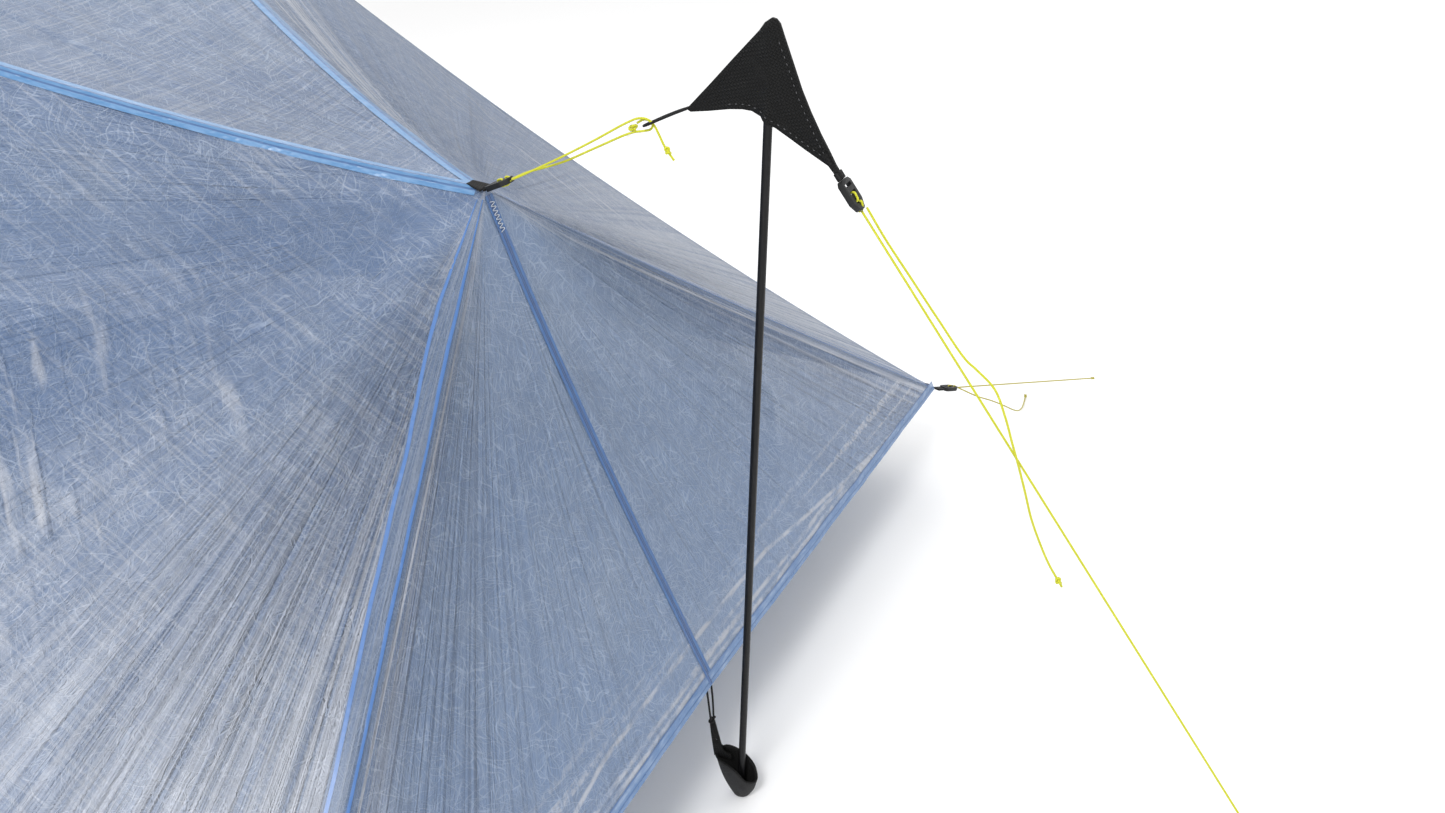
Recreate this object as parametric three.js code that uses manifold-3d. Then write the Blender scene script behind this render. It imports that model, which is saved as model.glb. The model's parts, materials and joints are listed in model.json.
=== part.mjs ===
import * as THREE from 'three';
import Module from 'manifold-3d';

// ---- shelter: driving dimensions, mm ------------------------------------------------------
const PEAK_Y = 500;            // the two pole peaks, over x = 0
const PEAK_Z = 1220;
const TIE_X = 1152;            // end tie-out, top of the end panels
const TIE_Z = 679;
const HEM_X = 1315;            // middle of the end hem
const HEM_Z = 149;
const CORNER_X = 1322;         // canopy corners
const CORNER_Y = 697;
const CORNER_Z = 141;
const VESTIBULE_Y = 1050;      // foot of the storm-door zip
const VESTIBULE_Z = 60;
const SKIN = 2.0;              // thickness of a canopy panel
const SEAM = 2.6;              // each panel stops this far short of its seam line

const FLOOR_X = 2260;          // bathtub floor
const FLOOR_Y = 1140;
const FLOOR_WALL = 180;
const FLOOR_SKIN = 2.0;
const NET_SKIN = 1.2;          // insect netting
const NET_BASE_Z = FLOOR_WALL + 2.4;
const NET_PEAK_Y = 476;
const NET_PEAK_Z = 1135;
const NET_END_X = 1118;
const NET_END_Z = 640;

// ---- poles ---------------------------------------------------------------------------------
const POLE_FOOT_Y = 620;
const POLE_TOP_Y = 491;
const POLE_TOP_Z = 1174;
const POLE_LOWER_R = 6.6;
const POLE_UPPER_R = 5.6;
const POLE_BORE = 1.2;
const POLE_SPLIT = 0.52;       // share of the length where the lower tube ends
const FOOT_R = 9;
const FOOT_LENGTH = 34;

// ---- end strut, its cup and its cap ----------------------------------------------------------
const STRUT_FOOT = new THREE.Vector3(1330.5, 0, 6);
const STRUT_TOP = new THREE.Vector3(1454, 0, 817);
const STRUT_R = 3.75;
const STRUT_WALL = 0.8;
const STRUT_TIP = 15;          // length of the plug in each end
const CUP_X = 1330;            // middle of the cup
const CUP_DEPTH = 26;
const CUP_WALL = 2.0;
const CAP_PLY = 2.6;           // both plies of the cap
const CAP_SLEEVE_R = 5.4;
const CAP_BORE_R = 4.15;

// ---- hardware and cords ----------------------------------------------------------------------
const TENSIONER_LENGTH = 28;
const TENSIONER_WIDTH = 17;
const TENSIONER_THICK = 5;
const SLOT_WIDTH = 10.5;
const SLOT_GAP = 2.8;
const WEBBING_WIDTH = 13;
const WEBBING_THICK = 2.4;
const WEBBING_LENGTH = 15;
const CORD_R = 1.0;
const GAP = 0.4;               // clearance between pieces that touch

const wasm = await Module();
wasm.setup();

const group = new THREE.Group();
const UP = new THREE.Vector3(0, 0, 1);
const ACROSS = new THREE.Vector3(0, 1, 0);

const FINISH = {
  fabric: { color: 0x8fa3c2, roughness: 0.45 },
  netting: { color: 0x2a2c30, roughness: 0.9 },
  floor: { color: 0x5d6b7e, roughness: 0.5 },
  webbing: { color: 0x141414, roughness: 0.9 },
  plastic: { color: 0x17181a, roughness: 0.45 },
  carbon: { color: 0x2d2e30, roughness: 0.35 },
  rubber: { color: 0x1b1b1b, roughness: 0.85 },
  lime: { color: 0xd8dc50, roughness: 0.8 },
  blackCord: { color: 0x121212, roughness: 0.85 },
};

/** Short for a point in millimetres. */
function at(x, y, z) {
  return new THREE.Vector3(x, y, z);
}

/** Adds a geometry to the group as one named mesh with a material of its own. */
function piece(name, geometry, finish) {
  const mesh = new THREE.Mesh(geometry, new THREE.MeshStandardMaterial(FINISH[finish]));
  mesh.name = name;
  group.add(mesh);
}

/** Three.js geometry to a manifold solid. */
function solid(geometry) {
  const plain = new THREE.BufferGeometry();
  const source = geometry.index ? geometry.toNonIndexed() : geometry;
  plain.setAttribute('position', source.getAttribute('position').clone());
  const count = plain.getAttribute('position').count;
  const merged = new Map();
  const vertices = [];
  const corners = [];
  for (let i = 0; i < count; i += 1) {
    const p = at(0, 0, 0).fromBufferAttribute(plain.getAttribute('position'), i);
    const key = p.toArray().map((v) => Math.round(v * 1e6)).join();
    if (!merged.has(key)) {
      merged.set(key, vertices.length / 3);
      vertices.push(p.x, p.y, p.z);
    }
    corners.push(merged.get(key));
  }
  const triangles = [];
  for (let i = 0; i < count; i += 3) {
    const [a, b, c] = corners.slice(i, i + 3);
    if (a !== b && b !== c && c !== a) {
      triangles.push(a, b, c);
    }
  }
  return new wasm.Manifold(new wasm.Mesh({
    numProp: 3,
    vertProperties: new Float32Array(vertices),
    triVerts: new Uint32Array(triangles),
  }));
}

/** Manifold solid back to three.js geometry. */
function surface(body) {
  const mesh = body.getMesh();
  const geometry = new THREE.BufferGeometry();
  geometry.setAttribute('position', new THREE.BufferAttribute(mesh.vertProperties, 3));
  geometry.setIndex(new THREE.BufferAttribute(mesh.triVerts, 1));
  geometry.computeVertexNormals();
  return geometry;
}

/** Moves every edge of a convex outline inward by its own distance. */
function inset(points, distances) {
  const turn = Math.sign(THREE.ShapeUtils.area(points));
  const lines = points.map((p, i) => {
    const q = points[(i + 1) % points.length];
    const along = q.clone().sub(p).normalize();
    const inward = new THREE.Vector2(-along.y, along.x).multiplyScalar(turn);
    return { start: p.clone().addScaledVector(inward, distances[i]), along };
  });
  return lines.map((line, i) => {
    const before = lines[(i + lines.length - 1) % lines.length];
    const step = line.start.clone().sub(before.start);
    const share = step.cross(line.along) / before.along.cross(line.along);
    return before.start.clone().addScaledVector(before.along, share);
  });
}

/** Frame with its z axis along a normal and its x axis as near as it can be to a direction. */
function frame(origin, along, normal) {
  const z = normal.clone().normalize();
  const x = along.clone().addScaledVector(z, -along.dot(z)).normalize();
  const y = z.clone().cross(x);
  return new THREE.Matrix4().makeBasis(x, y, z).setPosition(origin);
}

/** Flat panel of even thickness through three or more points, with one inset for each edge. */
function panel(points, insets, thickness) {
  const along = points[1].clone().sub(points[0]);
  const normal = along.clone().cross(points[2].clone().sub(points[0]));
  const place = frame(points[0], along, normal);
  const back = place.clone().invert();
  const flat = points.map((p) => {
    const q = p.clone().applyMatrix4(back);
    return new THREE.Vector2(q.x, q.y);
  });
  const shape = new THREE.Shape(inset(flat, insets));
  const slab = new THREE.ExtrudeGeometry(shape, { depth: thickness, bevelEnabled: false });
  slab.translate(0, 0, -thickness / 2);
  return slab.applyMatrix4(place);
}

/** Box with its length along a direction and its thickness along a normal. */
function strap(start, along, normal, length, width, thickness) {
  const box = new THREE.BoxGeometry(length, width, thickness);
  box.translate(length / 2, 0, 0);
  return box.applyMatrix4(frame(start, along, normal));
}

/** Round bar or tube between two points, turned as one lathe profile. */
function tube(start, end, outer, bore, sides = 20) {
  const length = end.distanceTo(start);
  const profile = bore > 0
    ? [[bore, 0], [outer, 0], [outer, length], [bore, length], [bore, 0]]
    : [[0, 0], [outer, 0], [outer, length], [0, length]];
  return turned(start, end, profile, sides);
}

/** Lathe profile of [radius, height] pairs, stood on a start point towards an end point. */
function turned(start, end, profile, sides) {
  const lathe = new THREE.LatheGeometry(profile.map(([r, h]) => new THREE.Vector2(r, h)), sides);
  lathe.rotateX(Math.PI / 2);
  const axis = end.clone().sub(start).normalize();
  const side = Math.abs(axis.y) > 0.9 ? UP : ACROSS;
  return lathe.applyMatrix4(frame(start, side, axis));
}

/** Round cord along a smooth curve through its points. */
function cord(points, steps, radius = CORD_R, sides = 8) {
  const curve = new THREE.CatmullRomCurve3(points, false, 'centripetal');
  const ring = Array.from({ length: sides }, (_, i) => {
    const angle = (i / sides) * Math.PI * 2;
    return new THREE.Vector2(Math.cos(angle) * radius, Math.sin(angle) * radius);
  });
  return new THREE.ExtrudeGeometry(new THREE.Shape(ring), {
    steps,
    extrudePath: curve,
    bevelEnabled: false,
  });
}

/** Cord tensioner: a tapered plate with a webbing slot and a cord slot. */
function tensioner(start, along, normal) {
  const half = TENSIONER_WIDTH / 2;
  const end = TENSIONER_LENGTH;
  const outline = new THREE.Shape([
    [0, 3 - half], [3, -half], [end - 8, -half], [end - 1, 4 - half], [end, 6 - half],
    [end, half - 6], [end - 1, half - 4], [end - 8, half], [3, half], [0, half - 3],
  ].map(([x, y]) => new THREE.Vector2(x, y)));
  for (const [x, narrower] of [[4, 0], [11, 0.4], [19, 1.7]]) {
    const y = SLOT_WIDTH / 2 - narrower;
    const corners = [[x, -y], [x, y], [x + SLOT_GAP, y], [x + SLOT_GAP, -y]];
    outline.holes.push(new THREE.Path(corners.map(([a, b]) => new THREE.Vector2(a, b))));
  }
  const plate = new THREE.ExtrudeGeometry(outline, { depth: TENSIONER_THICK, bevelEnabled: false });
  plate.translate(0, 0, -TENSIONER_THICK / 2);
  return plate.applyMatrix4(frame(start, along, normal));
}

/** Zip slider with its pull: a stepped plate that lies on the zip. */
function slider(start, along, normal) {
  const outline = new THREE.Shape([
    [-6, -4.5], [6, -4.5], [8, -2], [24, -2], [24, 2], [8, 2], [6, 4.5], [-6, 4.5],
  ].map(([x, y]) => new THREE.Vector2(x, y)));
  const plate = new THREE.ExtrudeGeometry(outline, { depth: 3.4, bevelEnabled: false });
  return plate.applyMatrix4(frame(start, along, normal));
}

// ---- canopy, storm doors, netting: mirrored over both ends and both sides -------------------
const ENDS = { px: 1, nx: -1 };
const SIDES = { py: 1, ny: -1 };
const NET_EDGE_X = FLOOR_X / 2 - FLOOR_SKIN / 2;
const NET_EDGE_Y = FLOOR_Y / 2 - FLOOR_SKIN / 2;

for (const [end, sx] of Object.entries(ENDS)) {
  const tie = at(sx * TIE_X, 0, TIE_Z);
  const hem = at(sx * HEM_X, 0, HEM_Z);
  const peaks = [at(0, PEAK_Y, PEAK_Z), at(0, -PEAK_Y, PEAK_Z)];
  piece(`roof_panel_${end}`, panel([tie, ...peaks], [SEAM, SEAM, SEAM], SKIN), 'fabric');
  const netFoot = [at(sx * NET_EDGE_X, NET_EDGE_Y - 4, NET_BASE_Z),
    at(sx * NET_EDGE_X, 4 - NET_EDGE_Y, NET_BASE_Z)];
  const netTop = at(sx * NET_END_X, 0, NET_END_Z);
  piece(`netting_end_${end}`, panel([...netFoot, netTop], [0, 0, 0], NET_SKIN), 'netting');

  for (const [side, sy] of Object.entries(SIDES)) {
    const peak = at(0, sy * PEAK_Y, PEAK_Z);
    const corner = at(sx * CORNER_X, sy * CORNER_Y, CORNER_Z);
    const vestibule = at(0, sy * VESTIBULE_Y, VESTIBULE_Z);
    const key = `${end}_${side}`;
    piece(`side_panel_${key}`, panel([tie, peak, corner], [SEAM, SEAM, SEAM], SKIN), 'fabric');
    piece(`end_panel_${key}`, panel([tie, corner, hem], [SEAM, 0, SEAM], SKIN), 'fabric');
    piece(`storm_door_${key}`, panel([peak, corner, vestibule], [SEAM, 0, SEAM], SKIN), 'fabric');
  }
}

for (const [side, sy] of Object.entries(SIDES)) {
  const netPeak = at(0, sy * NET_PEAK_Y, NET_PEAK_Z);
  const netMiddle = at(0, sy * NET_EDGE_Y, NET_BASE_Z);
  const fixed = [netPeak, at(-sy * NET_EDGE_X, sy * NET_EDGE_Y, NET_BASE_Z), netMiddle];
  const swung = [netPeak, at(sy * NET_EDGE_X, sy * NET_EDGE_Y, NET_BASE_Z), netMiddle];
  piece(`netting_side_${side}`, panel(fixed, [0, 0, 1], NET_SKIN), 'netting');
  piece(`netting_door_${side}`, panel(swung, [3, 0, 1], NET_SKIN), 'netting');

  const zipUp = netPeak.clone().sub(netMiddle).normalize();
  const zipOut = ACROSS.clone().multiplyScalar(sy).addScaledVector(zipUp, -sy * zipUp.y);
  const zipStart = netMiddle.clone().addScaledVector(zipUp, 40).addScaledVector(zipOut, 1.2);
  zipStart.x = -sy * 6.5;
  piece(`netting_zip_slider_${side}`, slider(zipStart, zipUp, zipOut), 'plastic');

  const doorUp = at(0, sy * (PEAK_Y - VESTIBULE_Y), PEAK_Z - VESTIBULE_Z).normalize();
  const doorOut = at(0, sy * doorUp.z, -sy * doorUp.y * 1).normalize();
  doorOut.z = Math.abs(doorOut.z);
  const doorStart = at(7.5, sy * VESTIBULE_Y, VESTIBULE_Z).addScaledVector(doorUp, 90);
  doorStart.addScaledVector(doorOut, 1.8);
  piece(`storm_zip_slider_${side}`, slider(doorStart, doorUp, doorOut), 'plastic');

  // two-section pole with its rubber foot, leaning in to the peak
  const foot = at(0, sy * POLE_FOOT_Y, 0);
  const top = at(0, sy * POLE_TOP_Y, POLE_TOP_Z);
  const lean = top.clone().sub(foot).normalize();
  const length = top.distanceTo(foot);
  const along = (distance) => foot.clone().addScaledVector(lean, distance);
  const tilt = FOOT_R * Math.abs(lean.y) + 0.3;
  piece(`pole_foot_${side}`, turned(along(tilt), top, [
    [0, 0], [FOOT_R, 0], [FOOT_R, 8], [POLE_LOWER_R + 1.6, 13], [POLE_LOWER_R + 1.6, FOOT_LENGTH],
    [POLE_LOWER_R + 0.2, FOOT_LENGTH], [POLE_LOWER_R + 0.2, 16], [0, 16],
  ], 20), 'rubber');
  const split = length * POLE_SPLIT;
  const lowerStart = along(tilt + 16 + GAP);
  piece(`pole_lower_${side}`, tube(lowerStart, along(split), POLE_LOWER_R,
    POLE_LOWER_R - POLE_BORE), 'carbon');
  piece(`pole_upper_${side}`, turned(along(split + GAP), top, [
    [0, 0], [POLE_UPPER_R, 0], [POLE_UPPER_R, length - split - 16],
    [3.2, length - split - 12], [3.2, length - split - GAP], [0, length - split - GAP],
  ], 20), 'carbon');
}

// ---- bathtub floor ---------------------------------------------------------------------------
const tub = new THREE.BoxGeometry(FLOOR_X, FLOOR_Y, FLOOR_WALL);
tub.translate(0, 0, FLOOR_WALL / 2);
const hollow = new THREE.BoxGeometry(
  FLOOR_X - 2 * FLOOR_SKIN, FLOOR_Y - 2 * FLOOR_SKIN, FLOOR_WALL);
hollow.translate(0, 0, FLOOR_WALL / 2 + FLOOR_SKIN);
piece('floor_tray', surface(solid(tub).subtract(solid(hollow))), 'floor');

// ---- webbing loops and tensioners --------------------------------------------------------------
const HANG = at(0, 0, -1);
const CORD_END = at(1478, 1025, 14);    // far end of the corner cord

/** Webbing loop that leaves a point along a direction, and where it ends. */
function webbing(name, from, along, normal, offset, length = WEBBING_LENGTH) {
  const start = from.clone().addScaledVector(along, offset);
  piece(name, strap(start, along, normal, length, WEBBING_WIDTH, WEBBING_THICK), 'webbing');
  return start.addScaledVector(along, length + GAP);
}

for (const [end, sx] of Object.entries(ENDS)) {
  for (const [side, sy] of Object.entries(SIDES)) {
    const corner = at(sx * CORNER_X, sy * CORNER_Y, CORNER_Z);
    const pull = at(sx * (CORD_END.x - CORNER_X), sy * (CORD_END.y - CORNER_Y),
      CORD_END.z - CORNER_Z).normalize();
    const flat = pull.clone().cross(UP).normalize().cross(pull);
    const eye = webbing(`corner_webbing_${end}_${side}`, corner, pull, flat, 3);
    const taut = sx * sy > 0 && sx > 0;
    const outward = at(pull.x, pull.y, 0).normalize();
    const hangFrom = eye.clone().add(at(0, 0, -WEBBING_THICK));
    piece(`corner_tensioner_${end}_${side}`,
      taut ? tensioner(eye, pull, flat) : tensioner(hangFrom.addScaledVector(outward, 3.2), HANG,
        outward), 'plastic');
  }
}

const TIE_PULL = at(27, 0, 9).normalize();
for (const [end, sx] of Object.entries(ENDS)) {
  const pull = at(sx * TIE_PULL.x, 0, TIE_PULL.z);
  const flat = at(-sx * TIE_PULL.z, 0, TIE_PULL.x);
  const eye = webbing(`tieout_webbing_${end}`, at(sx * TIE_X, 0, TIE_Z), pull, flat, 1.5, 3);
  if (sx > 0) {
    piece(`tieout_tensioner_${end}`, tensioner(eye, pull, flat), 'plastic');
  } else {
    const down = at(TIE_X - HEM_X, 0, HEM_Z - TIE_Z).normalize();
    const off = at(down.z, 0, -down.x);
    const from = eye.add(off.clone().multiplyScalar(2.4)).addScaledVector(down, 2);
    piece(`tieout_tensioner_${end}`, tensioner(from, down, off), 'plastic');
  }
}

for (const [side, sy] of Object.entries(SIDES)) {
  const pull = at(0, sy * 0.94, -0.34).normalize();
  const flat = at(0, sy * 0.34, 0.94).normalize();
  webbing(`vestibule_webbing_${side}`, at(0, sy * VESTIBULE_Y, VESTIBULE_Z), pull, flat, 4, 30);
}

// ---- end strut ---------------------------------------------------------------------------------
const strutUp = STRUT_TOP.clone().sub(STRUT_FOOT).normalize();
const onStrut = (distance) => STRUT_FOOT.clone().addScaledVector(strutUp, distance);
const strutLength = STRUT_TOP.distanceTo(STRUT_FOOT);
const core = STRUT_R - STRUT_WALL;
piece('strut_tube', tube(onStrut(6), onStrut(strutLength - 6), STRUT_R, core, 24), 'carbon');
for (const [name, seat, tip] of [
  ['strut_foot_tip', onStrut(6 + STRUT_TIP), onStrut(0)],
  ['strut_top_tip', onStrut(strutLength - 6 - STRUT_TIP), onStrut(strutLength)],
]) {
  piece(name, turned(seat, tip, [
    [0, 0], [core - 0.2, 0], [core - 0.2, STRUT_TIP + GAP],
    [STRUT_R, STRUT_TIP + GAP], [STRUT_R, STRUT_TIP + 3.5], [2.4, STRUT_TIP + 6],
    [0, STRUT_TIP + 6],
  ], 20), 'plastic');
}

/** Outline in the plane y = 0, given as [x, z] pairs, extruded across y about that plane. */
function upright(outline, depth) {
  const shape = new THREE.Shape(outline.map(([x, z]) => new THREE.Vector2(x, z)));
  const slab = new THREE.ExtrudeGeometry(shape, { depth, bevelEnabled: false });
  slab.rotateX(Math.PI / 2);
  return slab.translate(0, depth / 2, 0);
}

/** Side outline of the cup: a rounded pocket with a slanting mouth, drawn in by a margin. */
function cupOutline(margin, mouthRise) {
  const left = -26 + margin;
  const right = 23 - margin;
  const bottom = margin;
  const curve = new THREE.CatmullRomCurve3([
    at(CUP_X + right - 3, 0, 54 + mouthRise), at(CUP_X + right, 0, 34),
    at(CUP_X + right - 6, 0, 12 + bottom), at(CUP_X + 6, 0, bottom), at(CUP_X - 6, 0, bottom),
    at(CUP_X + left + 8, 0, 14 + bottom), at(CUP_X + left, 0, 36), at(CUP_X + left + 3, 0, 52),
    at(CUP_X - 11 + margin / 2, 0, 61 + mouthRise),
  ], false, 'centripetal');
  return curve.getPoints(24).map((p) => [p.x, Math.max(p.z, bottom)]);
}
const cupOuter = solid(upright(cupOutline(0, 0), CUP_DEPTH));
const cupInner = solid(upright(cupOutline(CUP_WALL, 6), CUP_DEPTH - 2 * CUP_WALL));
const neck = solid(upright([
  [CUP_X - 26, 44], [CUP_X - 12, 58], [CUP_X - 14, 80], [CUP_X - 19, 95], [CUP_X - 24, 95],
  [CUP_X - 26, 80],
], 3));
const neckHole = solid(tube(at(CUP_X - 21.5, -10, 88), at(CUP_X - 21.5, 10, 88), 1.9, 0, 10));
piece('strut_cup', surface(cupOuter.subtract(cupInner).add(neck.subtract(cupInner))
  .subtract(neckHole)), 'webbing');
const tetherTop = HEM_Z - 6;
piece('cup_tether', cord([
  at(HEM_X - 5, -5, tetherTop), at(HEM_X - 5.6, -4.6, 118), at(CUP_X - 20.5, -4.2, 100),
  at(CUP_X - 21.5, -2.6, 89), at(CUP_X - 21.5, 0, 87.6), at(CUP_X - 21.5, 2.6, 89),
  at(CUP_X - 20.5, 4.2, 100), at(HEM_X - 5.6, 4.6, 118), at(HEM_X - 5, 5, tetherTop),
], 40, 0.9), 'blackCord');

// cap: two sewn plies with a sleeve for the top of the strut
const capPlate = solid(upright([
  [1455, 828], [1449, 825], [1420, 799], [1374, 759], [1374, 755], [1411, 758], [1431, 757],
  [1443, 748], [1462, 735], [1485, 719], [1496, 712], [1499, 714], [1488, 738], [1475, 773],
  [1463, 819], [1459, 826],
], CAP_PLY));
const sleeve = solid(tube(onStrut(strutLength - 74), onStrut(strutLength + 5), CAP_SLEEVE_R, 0, 20));
const bore = solid(tube(onStrut(strutLength - 90), onStrut(strutLength + GAP), CAP_BORE_R, 0, 20));
piece('cap_fabric', surface(capPlate.add(sleeve).subtract(bore)), 'webbing');
piece('cap_loop', cord([
  at(1372.6, -2, 757.4), at(1362, -4, 754), at(1348, -5.4, 749), at(1336, -4.8, 744.4),
  at(1330.6, -2.6, 742.5), at(1329.4, 0, 742.1), at(1330.6, 2.6, 742.5), at(1336, 4.8, 744.4),
  at(1348, 5.4, 749), at(1362, 4, 754), at(1372.6, 2, 757.4),
], 40, 0.9), 'blackCord');

const GUY_END = at(1841, 0, 124);
const guyPull = at(GUY_END.x - 1498, 0, GUY_END.z - 711).normalize();
const guyFlat = at(-guyPull.z, 0, guyPull.x);
const capEye = webbing('cap_webbing', at(1498, 0, 711), guyPull, guyFlat, 2.4, 7);
piece('cap_tensioner', tensioner(capEye, guyPull, guyFlat), 'plastic');
const guyStart = capEye.clone().addScaledVector(guyPull, TENSIONER_LENGTH + 0.5);

// ---- free cords ----------------------------------------------------------------------------------
const tieMouth = at(TIE_X, 0, TIE_Z).addScaledVector(TIE_PULL, 4.9 + TENSIONER_LENGTH);
const fromMouth = (forward, side) => tieMouth.clone().add(at(forward, side, forward * 0.37));
piece('tie_out_cord', cord([
  at(1322, 1.8, 743.6), at(1329, 1.8, 746.6), at(1334.6, 1.8, 745.6), at(1336.6, 1.8, 742),
  at(1334, 1.8, 738.4), at(1328, 1.8, 737), at(1315, 1.8, 735), at(1280, 2, 722),
  at(1240, 2.8, 706.6), fromMouth(16, 3.6), fromMouth(8, 4.3), fromMouth(3.4, 3),
  fromMouth(1.8, 0), fromMouth(3.4, -3), fromMouth(8, -4.3), fromMouth(16, -3.6),
  at(1240, -2.8, 711.6), at(1280, -2, 729), at(1315, -1.8, 745), at(1326, -1.8, 748.6),
  at(1334, -1.8, 748), at(1340, -1.8, 743), at(1343.6, -1.8, 735), at(1347, -1.8, 726),
  at(1351, -1.8, 719), at(1355, -1.8, 713),
], 80), 'lime');
piece('guy_line', cord([
  guyStart, guyStart.clone().lerp(GUY_END, 0.2), guyStart.clone().lerp(GUY_END, 0.5),
  guyStart.clone().lerp(GUY_END, 0.8), GUY_END,
], 24), 'lime');
piece('guy_tail', cord([
  guyStart.clone().add(at(3, 4.2, 1.4)), at(1534, 4.2, 654), at(1551, 4, 626.6),
  at(1575, 4, 588), at(1597, 4, 554), at(1606, 3.6, 546), at(1621, 2, 531), at(1630, -0.6, 508),
  at(1636, -2.8, 486), at(1641.4, -3.2, 464), at(1646.5, -3.2, 440), at(1651, -3, 417),
  at(1658, -3, 394), at(1666, -3, 373), at(1677, -3, 352),
], 72), 'lime');
const cornerEye = at(CORNER_X, CORNER_Y, CORNER_Z);
const cornerPull = CORD_END.clone().sub(cornerEye).normalize();
const cornerStart = cornerEye.clone().addScaledVector(cornerPull,
  3 + WEBBING_LENGTH + GAP + TENSIONER_LENGTH + 0.5);
piece('corner_cord', cord([
  cornerStart, cornerStart.clone().lerp(CORD_END, 0.25), cornerStart.clone().lerp(CORD_END, 0.5),
  cornerStart.clone().lerp(CORD_END, 0.75), CORD_END,
], 24), 'lime');
piece('corner_cord_tail', cord([
  cornerStart.clone().add(at(4.6, -1.4, 0.6)), at(1366, 754, 106), at(1378, 790, 81),
  at(1386, 826, 55), at(1390, 858, 32), at(1391, 886, 15), at(1390, 912, 6), at(1387, 936, 3),
  at(1383, 962, 3),
], 48), 'lime');

export default group;
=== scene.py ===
"""A pole-held laminate tent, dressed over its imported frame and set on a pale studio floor."""

import json
import logging
import math
from dataclasses import dataclass, field
from enum import Enum
from functools import reduce
from typing import Callable, Sequence

import bmesh
import bpy
import numpy as np
from mathutils import Matrix, Vector


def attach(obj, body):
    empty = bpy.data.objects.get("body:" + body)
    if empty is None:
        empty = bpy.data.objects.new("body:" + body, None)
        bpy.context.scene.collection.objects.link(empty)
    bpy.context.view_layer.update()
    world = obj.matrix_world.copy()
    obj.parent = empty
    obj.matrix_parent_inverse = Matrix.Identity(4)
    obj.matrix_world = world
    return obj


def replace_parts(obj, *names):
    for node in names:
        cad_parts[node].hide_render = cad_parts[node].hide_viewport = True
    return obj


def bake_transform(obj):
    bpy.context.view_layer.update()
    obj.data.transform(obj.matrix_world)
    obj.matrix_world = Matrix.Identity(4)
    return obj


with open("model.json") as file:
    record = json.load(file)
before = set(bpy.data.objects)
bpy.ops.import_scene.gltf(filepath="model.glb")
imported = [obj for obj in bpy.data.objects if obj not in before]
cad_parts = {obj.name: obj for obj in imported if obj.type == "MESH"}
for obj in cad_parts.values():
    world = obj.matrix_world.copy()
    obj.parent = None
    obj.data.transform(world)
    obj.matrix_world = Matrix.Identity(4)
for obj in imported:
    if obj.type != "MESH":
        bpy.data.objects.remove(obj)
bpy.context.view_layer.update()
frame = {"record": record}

log = logging.getLogger("tent")

Point = tuple[float, float, float]
ENDS = {"px": 1, "nx": -1}
SIDES = {"py": 1, "ny": -1}
BODY_OF = {node: body for body, nodes in frame["record"]["behaviour"]["bodies"].items()
           for node in nodes}


# ---- shader building --------------------------------------------------------------------------


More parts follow.
